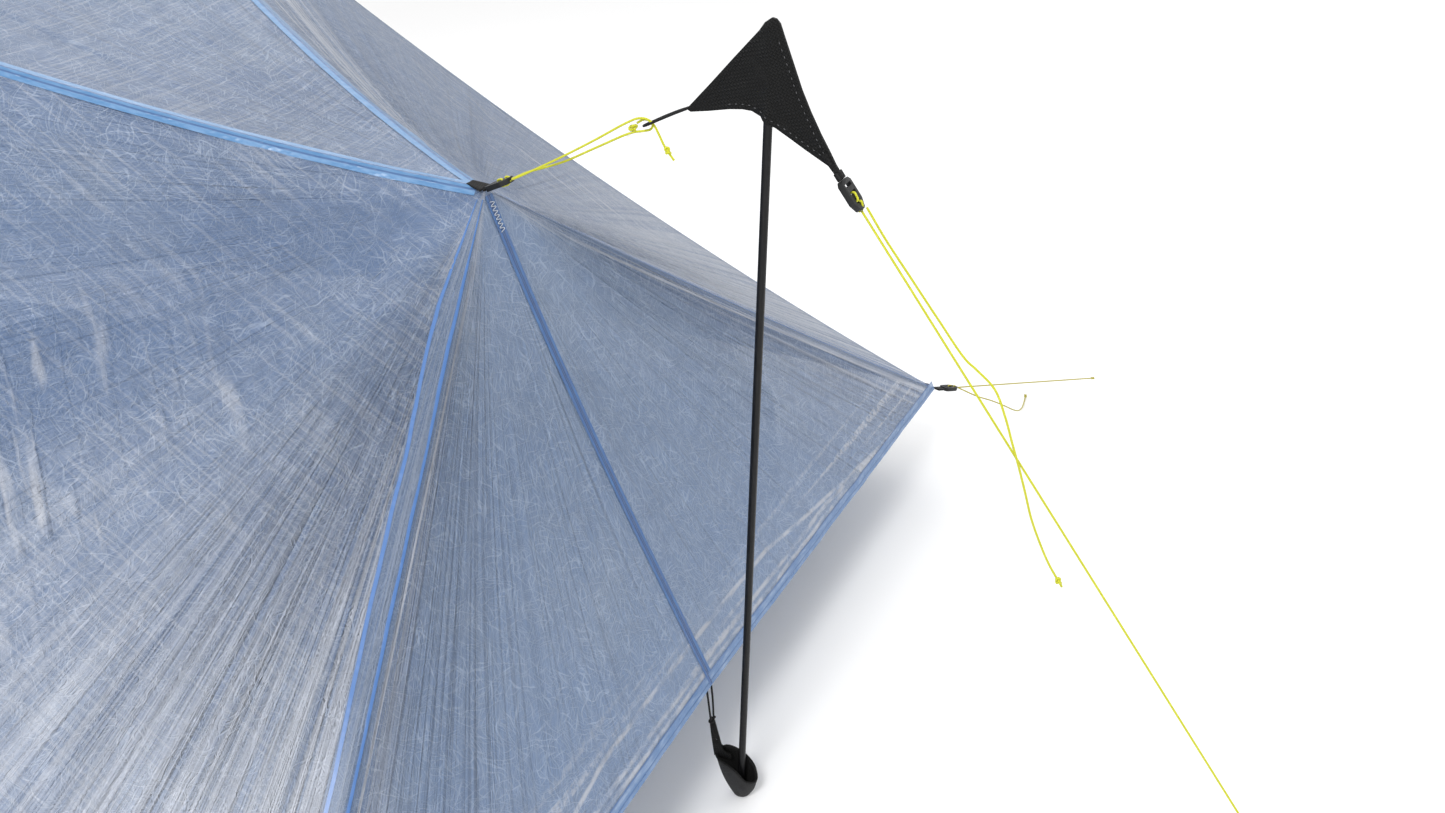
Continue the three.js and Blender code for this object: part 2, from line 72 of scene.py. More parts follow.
class Graph:
    """A material's node tree, with short calls for the nodes that the finishes share."""

    def __init__(self, name: str) -> None:
        """Starts an empty material called name."""
        self.material = bpy.data.materials.new(name)
        self.material.use_nodes = True
        self.tree = self.material.node_tree
        self.tree.nodes.clear()

    def add(self, kind: str, inputs: dict | None = None, **settings: object) -> bpy.types.Node:
        """Adds one node.

        Args:
            kind: the node's type, without its ShaderNode prefix.
            inputs: socket name or number to a value, or to an output socket.
            settings: the node's own properties.

        Returns:
            The new node.
        """
        made = self.tree.nodes.new("ShaderNode" + kind)
        for key, value in settings.items():
            setattr(made, key, value)
        for key, value in (inputs or {}).items():
            socket = made.inputs[key]
            if isinstance(value, bpy.types.NodeSocket):
                self.tree.links.new(value, socket)
            else:
                socket.default_value = value
        return made

    def math(self, operation: str, *values: object) -> bpy.types.NodeSocket:
        """Returns the result of one Math node on up to three numbers or sockets."""
        inputs = dict(enumerate(values))
        return self.add("Math", inputs, operation=operation).outputs[0]

    def attribute(self, name: str) -> bpy.types.NodeSocket:
        """Returns a number stored on the mesh."""
        return self.add("Attribute", attribute_name=name).outputs["Fac"]

    def uv(self, name: str) -> bpy.types.NodeSocket:
        """Returns one of the mesh's UV maps."""
        return self.add("UVMap", uv_map=name).outputs["UV"]

    def object_coords(self) -> bpy.types.NodeSocket:
        """Returns the piece's own coordinates, in metres."""
        return self.add("TexCoord").outputs["Object"]

    def mapped(self, vector: object, scale: Point = (1, 1, 1), turn: float = 0.0,
               shift: Point = (0, 0, 0)) -> bpy.types.NodeSocket:
        """Stretches, turns about z and shifts a coordinate.

        Args:
            vector: the coordinate socket.
            scale: factor along each axis.
            turn: angle about z, in radians.
            shift: offset added last.

        Returns:
            The mapped coordinate.
        """
        return self.add("Mapping", {"Vector": vector, "Scale": scale, "Rotation": (0, 0, turn),
                                    "Location": shift}).outputs["Vector"]

    def noise(self, vector: object, scale: float, detail: float = 3.0, rough: float = 0.5,
              distort: float = 0.0) -> bpy.types.NodeSocket:
        """Returns a cloudy value from 0 to 1."""
        return self.add("TexNoise", {"Vector": vector, "Scale": scale, "Detail": detail,
                                     "Roughness": rough, "Distortion": distort}).outputs["Fac"]

    def voronoi(self, vector: object, scale: float, feature: str = "F1",
                randomness: float = 1.0) -> bpy.types.NodeSocket:
        """Returns the distance value of a cell pattern."""
        return self.add("TexVoronoi", {"Vector": vector, "Scale": scale,
                                       "Randomness": randomness}, feature=feature
                        ).outputs["Distance"]

    def ramp(self, value: object, low: float, high: float, out_low: float = 0.0,
             out_high: float = 1.0, smooth: bool = True) -> bpy.types.NodeSocket:
        """Maps low..high onto out_low..out_high, clamped, with soft ends by default."""
        kind = "SMOOTHSTEP" if smooth else "LINEAR"
        return self.add("MapRange", {"Value": value, "From Min": low, "From Max": high,
                                     "To Min": out_low, "To Max": out_high},
                        interpolation_type=kind).outputs["Result"]

    def blend(self, share: object, first: object, second: object,
              mode: str = "MIX") -> bpy.types.NodeSocket:
        """Blends two colours by a share."""
        return self.add("Mix", {0: share, 6: first, 7: second}, data_type="RGBA",
                        blend_type=mode).outputs[2]

    def near(self, value: object, centre: float, inner: float, outer: float
             ) -> bpy.types.NodeSocket:
        """Returns 1 within inner of a centre value, fading to 0 at outer."""
        gap = self.math("ABSOLUTE", self.math("SUBTRACT", value, centre))
        return self.ramp(gap, inner, outer, 1.0, 0.0)

    def product(self, *values: object) -> bpy.types.NodeSocket:
        """Returns the product of numbers and sockets."""
        return reduce(lambda total, value: self.math("MULTIPLY", total, value), values)

    def either(self, values: Sequence[object]) -> bpy.types.NodeSocket:
        """Returns the largest of several values."""
        return reduce(lambda total, value: self.math("MAXIMUM", total, value), values)

    def bump(self, height: object, distance: float, strength: float = 1.0,
             normal: object | None = None) -> bpy.types.NodeSocket:
        """Returns a surface normal raised by a height in units of distance metres."""
        inputs = {"Height": height, "Distance": distance, "Strength": strength}
        if normal is not None:
            inputs["Normal"] = normal
        return self.add("Bump", inputs).outputs["Normal"]

    def finish(self, surface: object) -> bpy.types.Material:
        """Wires a shader to the output and returns the material."""
        self.add("OutputMaterial", {"Surface": surface})
        return self.material


def rgb(red: float, green: float, pleat_shade: float) -> tuple[float, float, float, float]:
    """Turns display colour values from 0 to 255 into a linear colour."""
    shares = [value / 255 for value in (red, green, pleat_shade)]
    return (*(share / 12.92 if share <= 0.04045 else ((share + 0.055) / 1.055) ** 2.4
              for share in shares), 1.0)


# ---- finishes ---------------------------------------------------------------------------------


@dataclass(frozen=True)
class Band:
    """A stretch of some measure: whole within inner of its centre, and gone past outer."""

    centre: float
    inner: float
    outer: float

    def share(self, graph: Graph, value: object) -> bpy.types.NodeSocket:
        """Returns how far a value is inside the band, from 0 to 1."""
        return graph.near(value, self.centre, self.inner, self.outer)


@dataclass(frozen=True)
class Laminate:
    """Thin film with loose pale fibres laid in it, drawn into pleats at its ties, with painted
    highlights and painted shade along its folds and hem.

    The mesh carries the UV map cloth, in metres, and three numbers: reach, the distance from
    the tie-out; fan, the angle about it from the corner seam, which is negative on the sides
    and roof; border, the distance from the far edge.
    """

    name: str = "laminate"
    film: tuple = rgb(108, 129, 162)
    shade: tuple = rgb(93, 116, 152)
    fibre: tuple = rgb(196, 208, 226)
    # The next tone is painted sheen: greyer, lighter cloudy patches that stand in for the film's
    # reflection.
    painted_sheen: tuple = rgb(131, 144, 165)
    # The next tone is the pale of the light grain lines and the painted highlight: painted sheen
    # low down and painted glints on wrinkle crests, pleats, the tie-out, the rib, the fold line
    # and the hem.
    grain_and_painted_glint: tuple = rgb(200, 203, 211)
    # The next tone is the dark of the grain lines and the painted shade in the pleat troughs
    # beside the seam and in the band towards the rib.
    grain_and_painted_shade: tuple = rgb(62, 96, 140)
    # The next tone is a lighter blue laid over the end panels: painted light.
    sky: tuple = rgb(160, 184, 216)
    tint: tuple = (0.62, 0.80, 1.0, 1.0)
    roughness: float = 0.38
    see_through: float = 0.91
    fibre_turns: tuple[float, ...] = (0.3, 1.05, 1.75, 2.5)
    fibre_scale: Point = (34.0, 680.0, 1.0)
    hair_turns: tuple[float, ...] = (0.7, 2.2)
    grain_turn: float = -0.10
    grain_scale: Point = (9.0, 330.0, 1.0)
    wrinkle_turn: float = 0.46
    wrinkle_scale: Point = (8.0, 66.0, 1.0)
    # The bands below place the pleats and the painted marks: painted highlights on the wrinkles,
    # the seam pleats, the tie-out burst, the rib and the fold line, and painted shade in the
    # shaded band.
    wrinkled: Band = Band(-0.80, 0.15, 0.50)
    shaded: Band = Band(-1.10, 0.15, 0.45)
    corner_folds: Band = Band(-0.10, 0.06, 0.50)
    seam_bundle: Band = Band(-0.03, 0.03, 0.13)
    tie_burst: Band = Band(-0.05, 0.10, 0.34)
    rib_bundle: Band = Band(-1.52, 0.03, 0.14)
    fold_light: Band = Band(0.0085, 0.0007, 0.0020)
    hem_rows: tuple[tuple[float, float], ...] = ((0.0155, 0.22), (0.025, 0.34), (0.052, 0.55))
    pleated: bool = True

    def threads(self, graph: Graph, place: object) -> bpy.types.NodeSocket:
        """Lays short fine fibres in several directions.

        Args:
            graph: the material being built.
            place: warped cloth coordinate.

        Returns:
            How much fibre shows, from 0 to 1.
        """
        layers = []
        for index, turn in enumerate(self.fibre_turns):
            turned = graph.mapped(place, turn=turn, shift=(index * 3.7, index * 1.9, 0))
            streaks = graph.noise(graph.mapped(turned, scale=self.fibre_scale), 1.0, 1.5, 0.6)
            layers.append(graph.ramp(streaks, 0.52, 0.70))
        return graph.either(layers)

    def hairs(self, graph: Graph, place: object) -> bpy.types.NodeSocket:
        """Lays a few long single fibres that stand out.

        Args:
            graph: the material being built.
            place: warped cloth coordinate.

        Returns:
            1 on a fibre and 0 off it.
        """
        layers = []
        for turn in self.hair_turns:
            turned = graph.mapped(place, turn=turn)
            parts = graph.add("SeparateXYZ", {"Vector": turned})
            across = graph.product(parts.outputs["Y"], 60.0)
            near = graph.add("TexVoronoi", {"W": across, "Scale": 1.0},
                             voronoi_dimensions="1D", feature="F1").outputs["Distance"]
            broken = graph.noise(graph.mapped(turned, scale=(14.0, 60.0, 1.0)), 1.0, 1.0)
            layers.append(graph.product(graph.ramp(near, 0.006, 0.022, 1.0, 0.0),
                                        graph.ramp(broken, 0.54, 0.60)))
        return graph.either(layers)

    def material(self) -> bpy.types.Material:
        """Builds the film's material."""
        graph = Graph(self.name)
        cloth = graph.uv("cloth")
        drift = graph.add("TexNoise", {"Vector": cloth, "Scale": 16.0, "Detail": 2.0}
                          ).outputs["Color"]
        drift = graph.add("VectorMath", {0: drift, 1: (0.5, 0.5, 0.5)}, operation="SUBTRACT")
        drift = graph.add("VectorMath", {0: drift.outputs[0], "Scale": 0.045},
                          operation="SCALE").outputs[0]
        place = graph.add("VectorMath", {0: cloth, 1: drift}, operation="ADD").outputs[0]

        threads = self.threads(graph, place)
        cloud = graph.noise(cloth, 2.6, 4.0, 0.6)
        colour = graph.blend(graph.ramp(cloud, 0.32, 0.68), self.shade, self.film)
        # Painted sheen: cloudy patches pulled towards a greyer, lighter tone.
        colour = graph.blend(graph.ramp(graph.noise(cloth, 7.0, 5.0, 0.65), 0.46, 0.76, 0, 0.6),
                             colour, self.painted_sheen)
        colour = graph.blend(graph.product(threads, 0.40), colour, self.fibre)
        colour = graph.blend(graph.product(self.hairs(graph, place), 0.46), colour, self.fibre)
        small = graph.noise(place, 70.0, 4.0, 0.6)
        relief = graph.math("ADD", graph.product(threads, 0.55), graph.product(small, 0.9))
        normal = graph.bump(graph.noise(place, 15.0, 3.0, 0.55), 0.010, 0.5)
        if self.pleated:
            normal, colour = self.pleats(graph, cloth, normal, colour)
        normal = graph.bump(relief, 0.0011, 0.75, normal)
        rough = graph.ramp(small, 0.3, 0.75, self.roughness - 0.08, self.roughness + 0.14)
        sheet = graph.add("BsdfPrincipled", {
            "Base Color": colour, "Roughness": rough, "Normal": normal,
            "Specular IOR Level": 0.7, "Alpha": self.see_through, "Coat Weight": 0.35,
            "Coat Roughness": 0.27,
        })
        glow = graph.blend(1.0, colour, self.tint, "MULTIPLY")
        lit = graph.add("BsdfTranslucent", {"Color": glow, "Normal": normal})
        both = graph.add("MixShader", {0: 0.28, 1: sheet.outputs[0], 2: lit.outputs[0]})
        return graph.finish(both.outputs[0])

    def pleats(self, graph: Graph, cloth: object, normal: object, colour: object) -> tuple:
        """Adds grain lines, the fan of pleats at each tie-out with painted highlights and painted
        shade in it, and painted glints along the hem.

        Args:
            graph: the material being built.
            cloth: the cloth coordinate.
            normal: the surface normal so far.
            colour: the colour so far.

        Returns:
            The new normal and colour.
        """
        fan, reach, border = (graph.attribute(name) for name in ("fan", "reach", "border"))
        side = graph.add("SeparateXYZ", {"Vector": graph.object_coords()}).outputs["Y"]
        polar = graph.add("CombineXYZ", {"X": graph.product(fan, 30.0),
                                         "Y": graph.product(reach, 1.3),
                                         "Z": graph.product(side, 0.6)}).outputs[0]
        wide = graph.noise(polar, 1.0, 2.0, 0.5)
        tight = graph.noise(graph.mapped(polar, scale=(2.6, 1.1, 1.0)), 1.0, 3.0, 0.6)
        fade = graph.ramp(reach, 0.02, 0.25)

        normal, colour = self.sides(graph, cloth, fan, reach, tight, normal, colour)
        height = graph.math("ADD", wide, graph.product(tight, 0.5))
        amount = graph.product(graph.math("ADD", self.corner_folds.share(graph, fan), 0.22), fade)
        normal = graph.bump(graph.product(height, amount), 0.036, 0.9, normal)

        # Painted highlights on the pleat crests and painted shade in the pleat troughs beside the
        # seam; burst, rib and light below are painted highlights too.
        bundle = self.seam_bundle.share(graph, fan)
        bright = graph.product(graph.ramp(tight, 0.47, 0.60), bundle)
        pleat_shade = graph.product(graph.ramp(tight, 0.36, 0.46, 1.0, 0.0), bundle)
        burst = graph.product(graph.ramp(reach, 0.03, 0.15, 1.0, 0.0),
                              self.tie_burst.share(graph, fan), graph.ramp(tight, 0.42, 0.56))
        rib = graph.product(self.rib_bundle.share(graph, fan), graph.ramp(side, 0.0, 0.03),
                            graph.ramp(tight, 0.46, 0.58))
        light = graph.product(self.fold_light.share(graph, graph.product(fan, reach)), fade)
        for share, strength, tone in ((bright, 0.62, self.grain_and_painted_glint), (pleat_shade, 0.42, self.grain_and_painted_shade),
                                      (burst, 0.85, self.grain_and_painted_glint), (rib, 0.75, self.grain_and_painted_glint),
                                      (light, 0.75, self.grain_and_painted_glint)):
            colour = graph.blend(graph.product(share, strength), colour, tone)
        return self.hem(graph, cloth, (fan, border, side), normal, colour)

    def sides(self, graph: Graph, cloth: object, fan: object, reach: object, tight: object,
              normal: object, colour: object) -> tuple:
        """Adds straight grain, a painted sheen low down, glossy wrinkles with painted highlights
        on their crests and a band of painted shade towards the rib on the roof and sides, and a
        lighter painted blue on the end panels.

        Args:
            graph: the material being built.
            cloth: the cloth coordinate.
            fan: the angle about the tie-out.
            reach: the distance from it.
            tight: the narrow radial streaks.
            normal: the surface normal so far.
            colour: the colour so far.

        Returns:
            The new normal and colour.
        """
        grain = graph.noise(graph.mapped(graph.mapped(cloth, turn=self.grain_turn),
                                         scale=self.grain_scale), 1.0, 1.0)
        upper = graph.ramp(fan, -0.12, -0.02, 1.0, 0.0)
        light = graph.product(graph.ramp(grain, 0.5, 0.7), upper, 0.26)
        dark = graph.product(graph.ramp(grain, 0.34, 0.5, 1.0, 0.0), upper, 0.20)
        # Painted sheen: the lower part of the sides lightened towards the pale highlight tone,
        # streaked along the pleats.
        low = graph.product(graph.ramp(fan, -1.0, -0.25), upper, graph.ramp(reach, 0.12, 0.55),
                            graph.ramp(tight, 0.30, 0.62, 0.25, 1.0), 0.62)

        wrinkle = graph.noise(graph.mapped(graph.mapped(cloth, turn=self.wrinkle_turn),
                                           scale=self.wrinkle_scale), 1.0, 2.0, 0.5, 0.4)
        patch = graph.product(self.wrinkled.share(graph, fan), graph.ramp(reach, 0.16, 0.42),
                              graph.ramp(graph.noise(cloth, 5.0, 1.0), 0.40, 0.56))
        # Painted highlights on the wrinkle crests.
        crest = graph.product(graph.ramp(wrinkle, 0.55, 0.70), patch, 0.75)
        normal = graph.bump(graph.product(wrinkle, patch), 0.012, 0.8, normal)
        # Painted shade: a band of the sides towards the rib darkened.
        high = graph.product(self.shaded.share(graph, fan), 0.30)
        # Painted light: the end panels pulled towards a lighter blue.
        ends = graph.ramp(fan, 0.03, 0.12, 0.0, 0.20)
        for share, tone in ((light, self.grain_and_painted_glint), (dark, self.grain_and_painted_shade), (low, self.grain_and_painted_glint),
                            (crest, self.grain_and_painted_glint), (high, self.grain_and_painted_shade), (ends, self.sky)):
            colour = graph.blend(share, colour, tone)
        return normal, colour

    def hem(self, graph: Graph, cloth: object, spot: tuple, normal: object, colour: object
            ) -> tuple:
        """Adds creases parallel with the end hem, and rows of painted glints where they crown.

        Args:
            graph: the material being built.
            cloth: the cloth coordinate.
            spot: the angle about the tie-out, the distance from the hem, and the side.
            normal: the surface normal so far.
            colour: the colour so far.

        Returns:
            The new normal and colour.
        """
        fan, border, side = spot
        parts = graph.add("SeparateXYZ", {"Vector": cloth})
        rows = graph.add("CombineXYZ", {"X": graph.product(parts.outputs["X"], 2.2),
                                        "Y": graph.product(border, 95.0),
                                        "Z": side}).outputs[0]
        crease = graph.noise(rows, 1.0, 2.0, 0.5, 0.3)
        strip = graph.product(graph.ramp(border, 0.05, 0.10, 1.0, 0.0),
                              graph.ramp(fan, -0.02, 0.02))
        glint = graph.ramp(graph.noise(cloth, 140.0, 3.0, 0.6), 0.35, 0.6)
        # Painted glints on the crowns of the hem creases.
        ridge = graph.product(graph.ramp(crease, 0.55, 0.68), strip, glint, 0.8)
        colour = graph.blend(ridge, colour, self.grain_and_painted_glint)
        normal = graph.bump(graph.product(crease, strip), 0.006, 0.8, normal)
        broken = graph.noise(graph.mapped(cloth, scale=(26.0, 60.0, 1.0)), 1.0, 3.0, 0.6)
        # Rows of painted glints parallel with the hem.
        for height, spread in self.hem_rows:
            rise = graph.ramp(fan, 0.0, spread, 0.0, height, smooth=False)
            gap = graph.math("ABSOLUTE", graph.math("SUBTRACT", border, rise))
            row = graph.product(graph.ramp(gap, 0.0010, 0.0042, 1.0, 0.0),
                                graph.ramp(fan, 0.0, 0.03),
                                graph.ramp(broken, 0.42, 0.60, 0.15, 0.85))
            colour = graph.blend(row, colour, self.grain_and_painted_glint)
        return normal, colour


@dataclass(frozen=True)
class Tape:
    """Blue bonded seam tape with darker ply edges; UV map tape runs along it and across it.

    lines are the places of the ply edges across it, line is how wide each one is, and
    line_cover is how much less can be seen through them.
    """

    name: str
    base: tuple = rgb(70, 122, 170)
    edge: tuple = rgb(28, 74, 126)
    haze: tuple = rgb(112, 150, 190)
    lines: tuple[float, ...] = (-0.34, 0.22)
    roughness: float = 0.36
    see_through: float = 0.88
    line: float = 0.16
    line_cover: float = 0.0

    def material(self) -> bpy.types.Material:
        """Builds the tape's material."""
        graph = Graph(self.name)
        tape = graph.uv("tape")
        parts = graph.add("SeparateXYZ", {"Vector": tape})
        wander = graph.product(graph.math("SUBTRACT", graph.noise(
            graph.mapped(tape, scale=(9.0, 0.2, 1.0)), 1.0, 2.0), 0.5), 0.3)
        across = graph.math("ADD", parts.outputs["Y"], wander)
        plies = graph.either([graph.near(across, place, self.line * 0.35, self.line)
                              for place in self.lines])
        patchy = graph.noise(graph.mapped(tape, scale=(40.0, 1.0, 1.0)), 1.0, 4.0, 0.6)
        colour = graph.blend(graph.ramp(patchy, 0.42, 0.74, 0, 0.7), self.base, self.haze)
        colour = graph.blend(graph.product(plies, 0.8), colour, self.edge)
        crinkle = graph.voronoi(graph.mapped(tape, scale=(150.0, 2.2, 1.0)), 1.0)
        normal = graph.bump(crinkle, 0.0009, 0.7)
        normal = graph.bump(plies, 0.0003, 0.8, normal)
        shader = graph.add("BsdfPrincipled", {
            "Base Color": colour, "Roughness": graph.ramp(patchy, 0.3, 0.7,
                                                          self.roughness - 0.08,
                                                          self.roughness + 0.2),
            "Normal": normal, "Specular IOR Level": 0.6, "Coat Weight": 0.3,
            "Coat Roughness": 0.15,
            "Alpha": graph.ramp(plies, 0.2, 1.0, self.see_through,
                                self.see_through + self.line_cover),
        })
        return graph.finish(shader.outputs[0])


@dataclass(frozen=True)
class Woven:
    """Coarse two-way weave of heavy yarn, on the piece's own coordinates."""

    name: str
    yarn: tuple
    gap: tuple
    pitch: float = 0.0016
    roughness: float = 0.72
    turn: float = 0.0
    plane: tuple[str, str] = ("X", "Z")
    sheen: float = 0.04

    def material(self) -> bpy.types.Material:
        """Builds the weave's material."""
        graph = Graph(self.name)
        coords = graph.object_coords()
        parts = graph.add("SeparateXYZ", {"Vector": coords})
        flat = graph.add("CombineXYZ", {"X": parts.outputs[self.plane[0]],
                                        "Y": parts.outputs[self.plane[1]]}).outputs[0]
        flat = graph.add("SeparateXYZ", {"Vector": graph.mapped(flat, turn=self.turn)})
        swings = [graph.math("SINE", graph.product(flat.outputs[axis], math.pi / self.pitch))
                  for axis in ("X", "Y")]
        choose = graph.ramp(graph.product(*swings), -0.1, 0.1)
        warp = graph.product(graph.math("ABSOLUTE", swings[0]), choose)
        weft = graph.product(graph.math("ABSOLUTE", swings[1]),
                             graph.math("SUBTRACT", 1.0, choose))
        height = graph.math("ADD", warp, weft)
        worn = graph.noise(coords, 60.0, 4.0, 0.6)
        # Painted shade between the yarns: the gaps take the darker gap colour.
        colour = graph.blend(graph.ramp(height, 0.25, 0.9), self.gap, self.yarn)
        lighter = tuple(min(1.0, value * 1.9 + 0.01) for value in self.yarn[:3]) + (1.0,)
        colour = graph.blend(graph.ramp(worn, 0.5, 0.8, 0, 0.35), colour, lighter)
        normal = graph.bump(height, self.pitch * 0.35, 0.9)
        normal = graph.bump(graph.noise(coords, 90.0, 3.0), 0.0006, 0.5, normal)
        shader = graph.add("BsdfPrincipled", {
            "Base Color": colour, "Normal": normal,
            "Roughness": graph.ramp(worn, 0.3, 0.7, self.roughness - 0.12,
                                    self.roughness + 0.12),
            "Specular IOR Level": 0.22, "Sheen Weight": self.sheen, "Sheen Roughness": 0.4,
        })
        return graph.finish(shader.outputs[0])


@dataclass(frozen=True)
class Braid:
    """Round braided cord; the mesh carries along, in metres, and the round pair."""

    name: str
    yarn: tuple
    painted_groove_shade: tuple
    fleck: tuple
    pitch: float = 0.0030
    roughness: float = 0.62
    sheen: float = 0.15

    def material(self) -> bpy.types.Material:
        """Builds the cord's material."""
        graph = Graph(self.name)
        along = graph.product(graph.attribute("along"), 2 * math.pi / self.pitch)
        east, north = graph.attribute("round_x"), graph.attribute("round_y")
        sine, cosine = graph.math("SINE", along), graph.math("COSINE", along)
        rise, run = graph.product(sine, east), graph.product(cosine, north)
        left, right = graph.math("ADD", rise, run), graph.math("SUBTRACT", rise, run)
        strand = graph.math("MAXIMUM", graph.math("ABSOLUTE", left),
                            graph.math("ABSOLUTE", right))
        patches = graph.noise(graph.object_coords(), 260.0, 3.0)
        # Painted shade in the grooves between strands: they take the darker groove colour.
        colour = graph.blend(graph.ramp(strand, 0.3, 0.8), self.painted_groove_shade, self.yarn)
        colour = graph.blend(graph.ramp(patches, 0.55, 0.72, 0, 0.5), colour, self.fleck)
        shader = graph.add("BsdfPrincipled", {
            "Base Color": colour, "Normal": graph.bump(strand, 0.00035, 0.9),
            "Roughness": graph.ramp(patches, 0.3, 0.7, self.roughness - 0.1,
                                    self.roughness + 0.1),
            "Specular IOR Level": 0.25, "Sheen Weight": self.sheen,
        })
        return graph.finish(shader.outputs[0])


@dataclass(frozen=True)
class Moulded:
    """Moulded plastic or rubber with a fine skin, scuffed here and there."""

    name: str
    base: tuple
    scuff: tuple
    roughness: float = 0.42
    grain: float = 1400.0

    def material(self) -> bpy.types.Material:
        """Builds the moulding's material."""
        graph = Graph(self.name)
        coords = graph.object_coords()
        grain = graph.noise(coords, self.grain, 3.0)
        worn = graph.noise(coords, 130.0, 5.0, 0.65)
        colour = graph.blend(graph.ramp(worn, 0.55, 0.78, 0, 0.5), self.base, self.scuff)
        shader = graph.add("BsdfPrincipled", {
            "Base Color": colour,
            "Roughness": graph.ramp(worn, 0.3, 0.75, self.roughness - 0.08,
                                    self.roughness + 0.2),
            "Normal": graph.bump(grain, 0.00012, 0.6), "Specular IOR Level": 0.35,
        })
        return graph.finish(shader.outputs[0])


@dataclass(frozen=True)
class Carbon:
    """Wound carbon tube under a thin clear coat; the helix turns about an upright axis."""

    name: str = "wound_carbon"
    base: tuple = rgb(9, 9, 10)
    tow: tuple = rgb(22, 22, 24)
    pitch: float = 0.006
    roughness: float = 0.34

    def material(self) -> bpy.types.Material:
        """Builds the tube's material."""
        graph = Graph(self.name)
        coords = graph.object_coords()
        parts = graph.add("SeparateXYZ", {"Vector": coords})
        climb = graph.math("ADD", parts.outputs["Z"], graph.product(parts.outputs["Y"], 0.6))
        bands = graph.math("SINE", graph.product(climb, 2 * math.pi / self.pitch))
        tow = graph.noise(graph.mapped(coords, scale=(900.0, 900.0, 40.0)), 1.0, 3.0)
        colour = graph.blend(graph.ramp(tow, 0.4, 0.7), self.base, self.tow)
        colour = graph.blend(graph.ramp(bands, 0.2, 1.0, 0, 0.25), colour, self.base)
        normal = graph.bump(graph.math("ADD", bands, tow), 0.00005, 0.5)
        shader = graph.add("BsdfPrincipled", {
            "Base Color": colour, "Normal": normal,
            "Roughness": graph.ramp(tow, 0.3, 0.7, self.roughness - 0.06,
                                    self.roughness + 0.1),
            "Specular IOR Level": 0.2, "Coat Weight": 0.06, "Coat Roughness": 0.2,
        })
        return graph.finish(shader.outputs[0])


@dataclass(frozen=True)
class Netting:
    """Fine knitted insect netting: small round holes in dark yarn."""

    name: str = "netting"
    yarn: tuple = rgb(44, 47, 54)
    pitch: float = 0.0024

    def material(self) -> bpy.types.Material:
        """Builds the netting's material."""
        graph = Graph(self.name)
        cloth = graph.uv("cloth")
        cells = graph.voronoi(cloth, 1 / self.pitch, randomness=0.12)
        solid = graph.ramp(cells, 0.38, 0.46, 0.12, 0.9)
        tone = graph.noise(cloth, 30.0, 3.0)
        colour = graph.blend(graph.ramp(tone, 0.4, 0.7), self.yarn, rgb(66, 70, 78))
        yarn = graph.add("BsdfPrincipled", {
            "Base Color": colour, "Roughness": 0.8, "Normal": graph.bump(cells, 0.0002, 0.5)})
        clear = graph.add("BsdfTransparent")
        both = graph.add("MixShader", {0: solid, 1: clear.outputs[0], 2: yarn.outputs[0]})
        return graph.finish(both.outputs[0])


@dataclass(frozen=True)
class Ground:
    """Pale, even studio floor with a trace of texture."""

    name: str = "studio_floor"
    base: tuple = (0.93, 0.93, 0.93, 1.0)

    def material(self) -> bpy.types.Material:
        """Builds the floor's material."""
        graph = Graph(self.name)
        cloud = graph.noise(graph.object_coords(), 1.5, 3.0)
        colour = graph.blend(graph.ramp(cloud, 0.3, 0.7, 0, 0.3), self.base,
                             (0.915, 0.915, 0.918, 1.0))
        shader = graph.add("BsdfPrincipled", {"Base Color": colour, "Roughness": 0.9,
                                              "Specular IOR Level": 0.1})
        return graph.finish(shader.outputs[0])


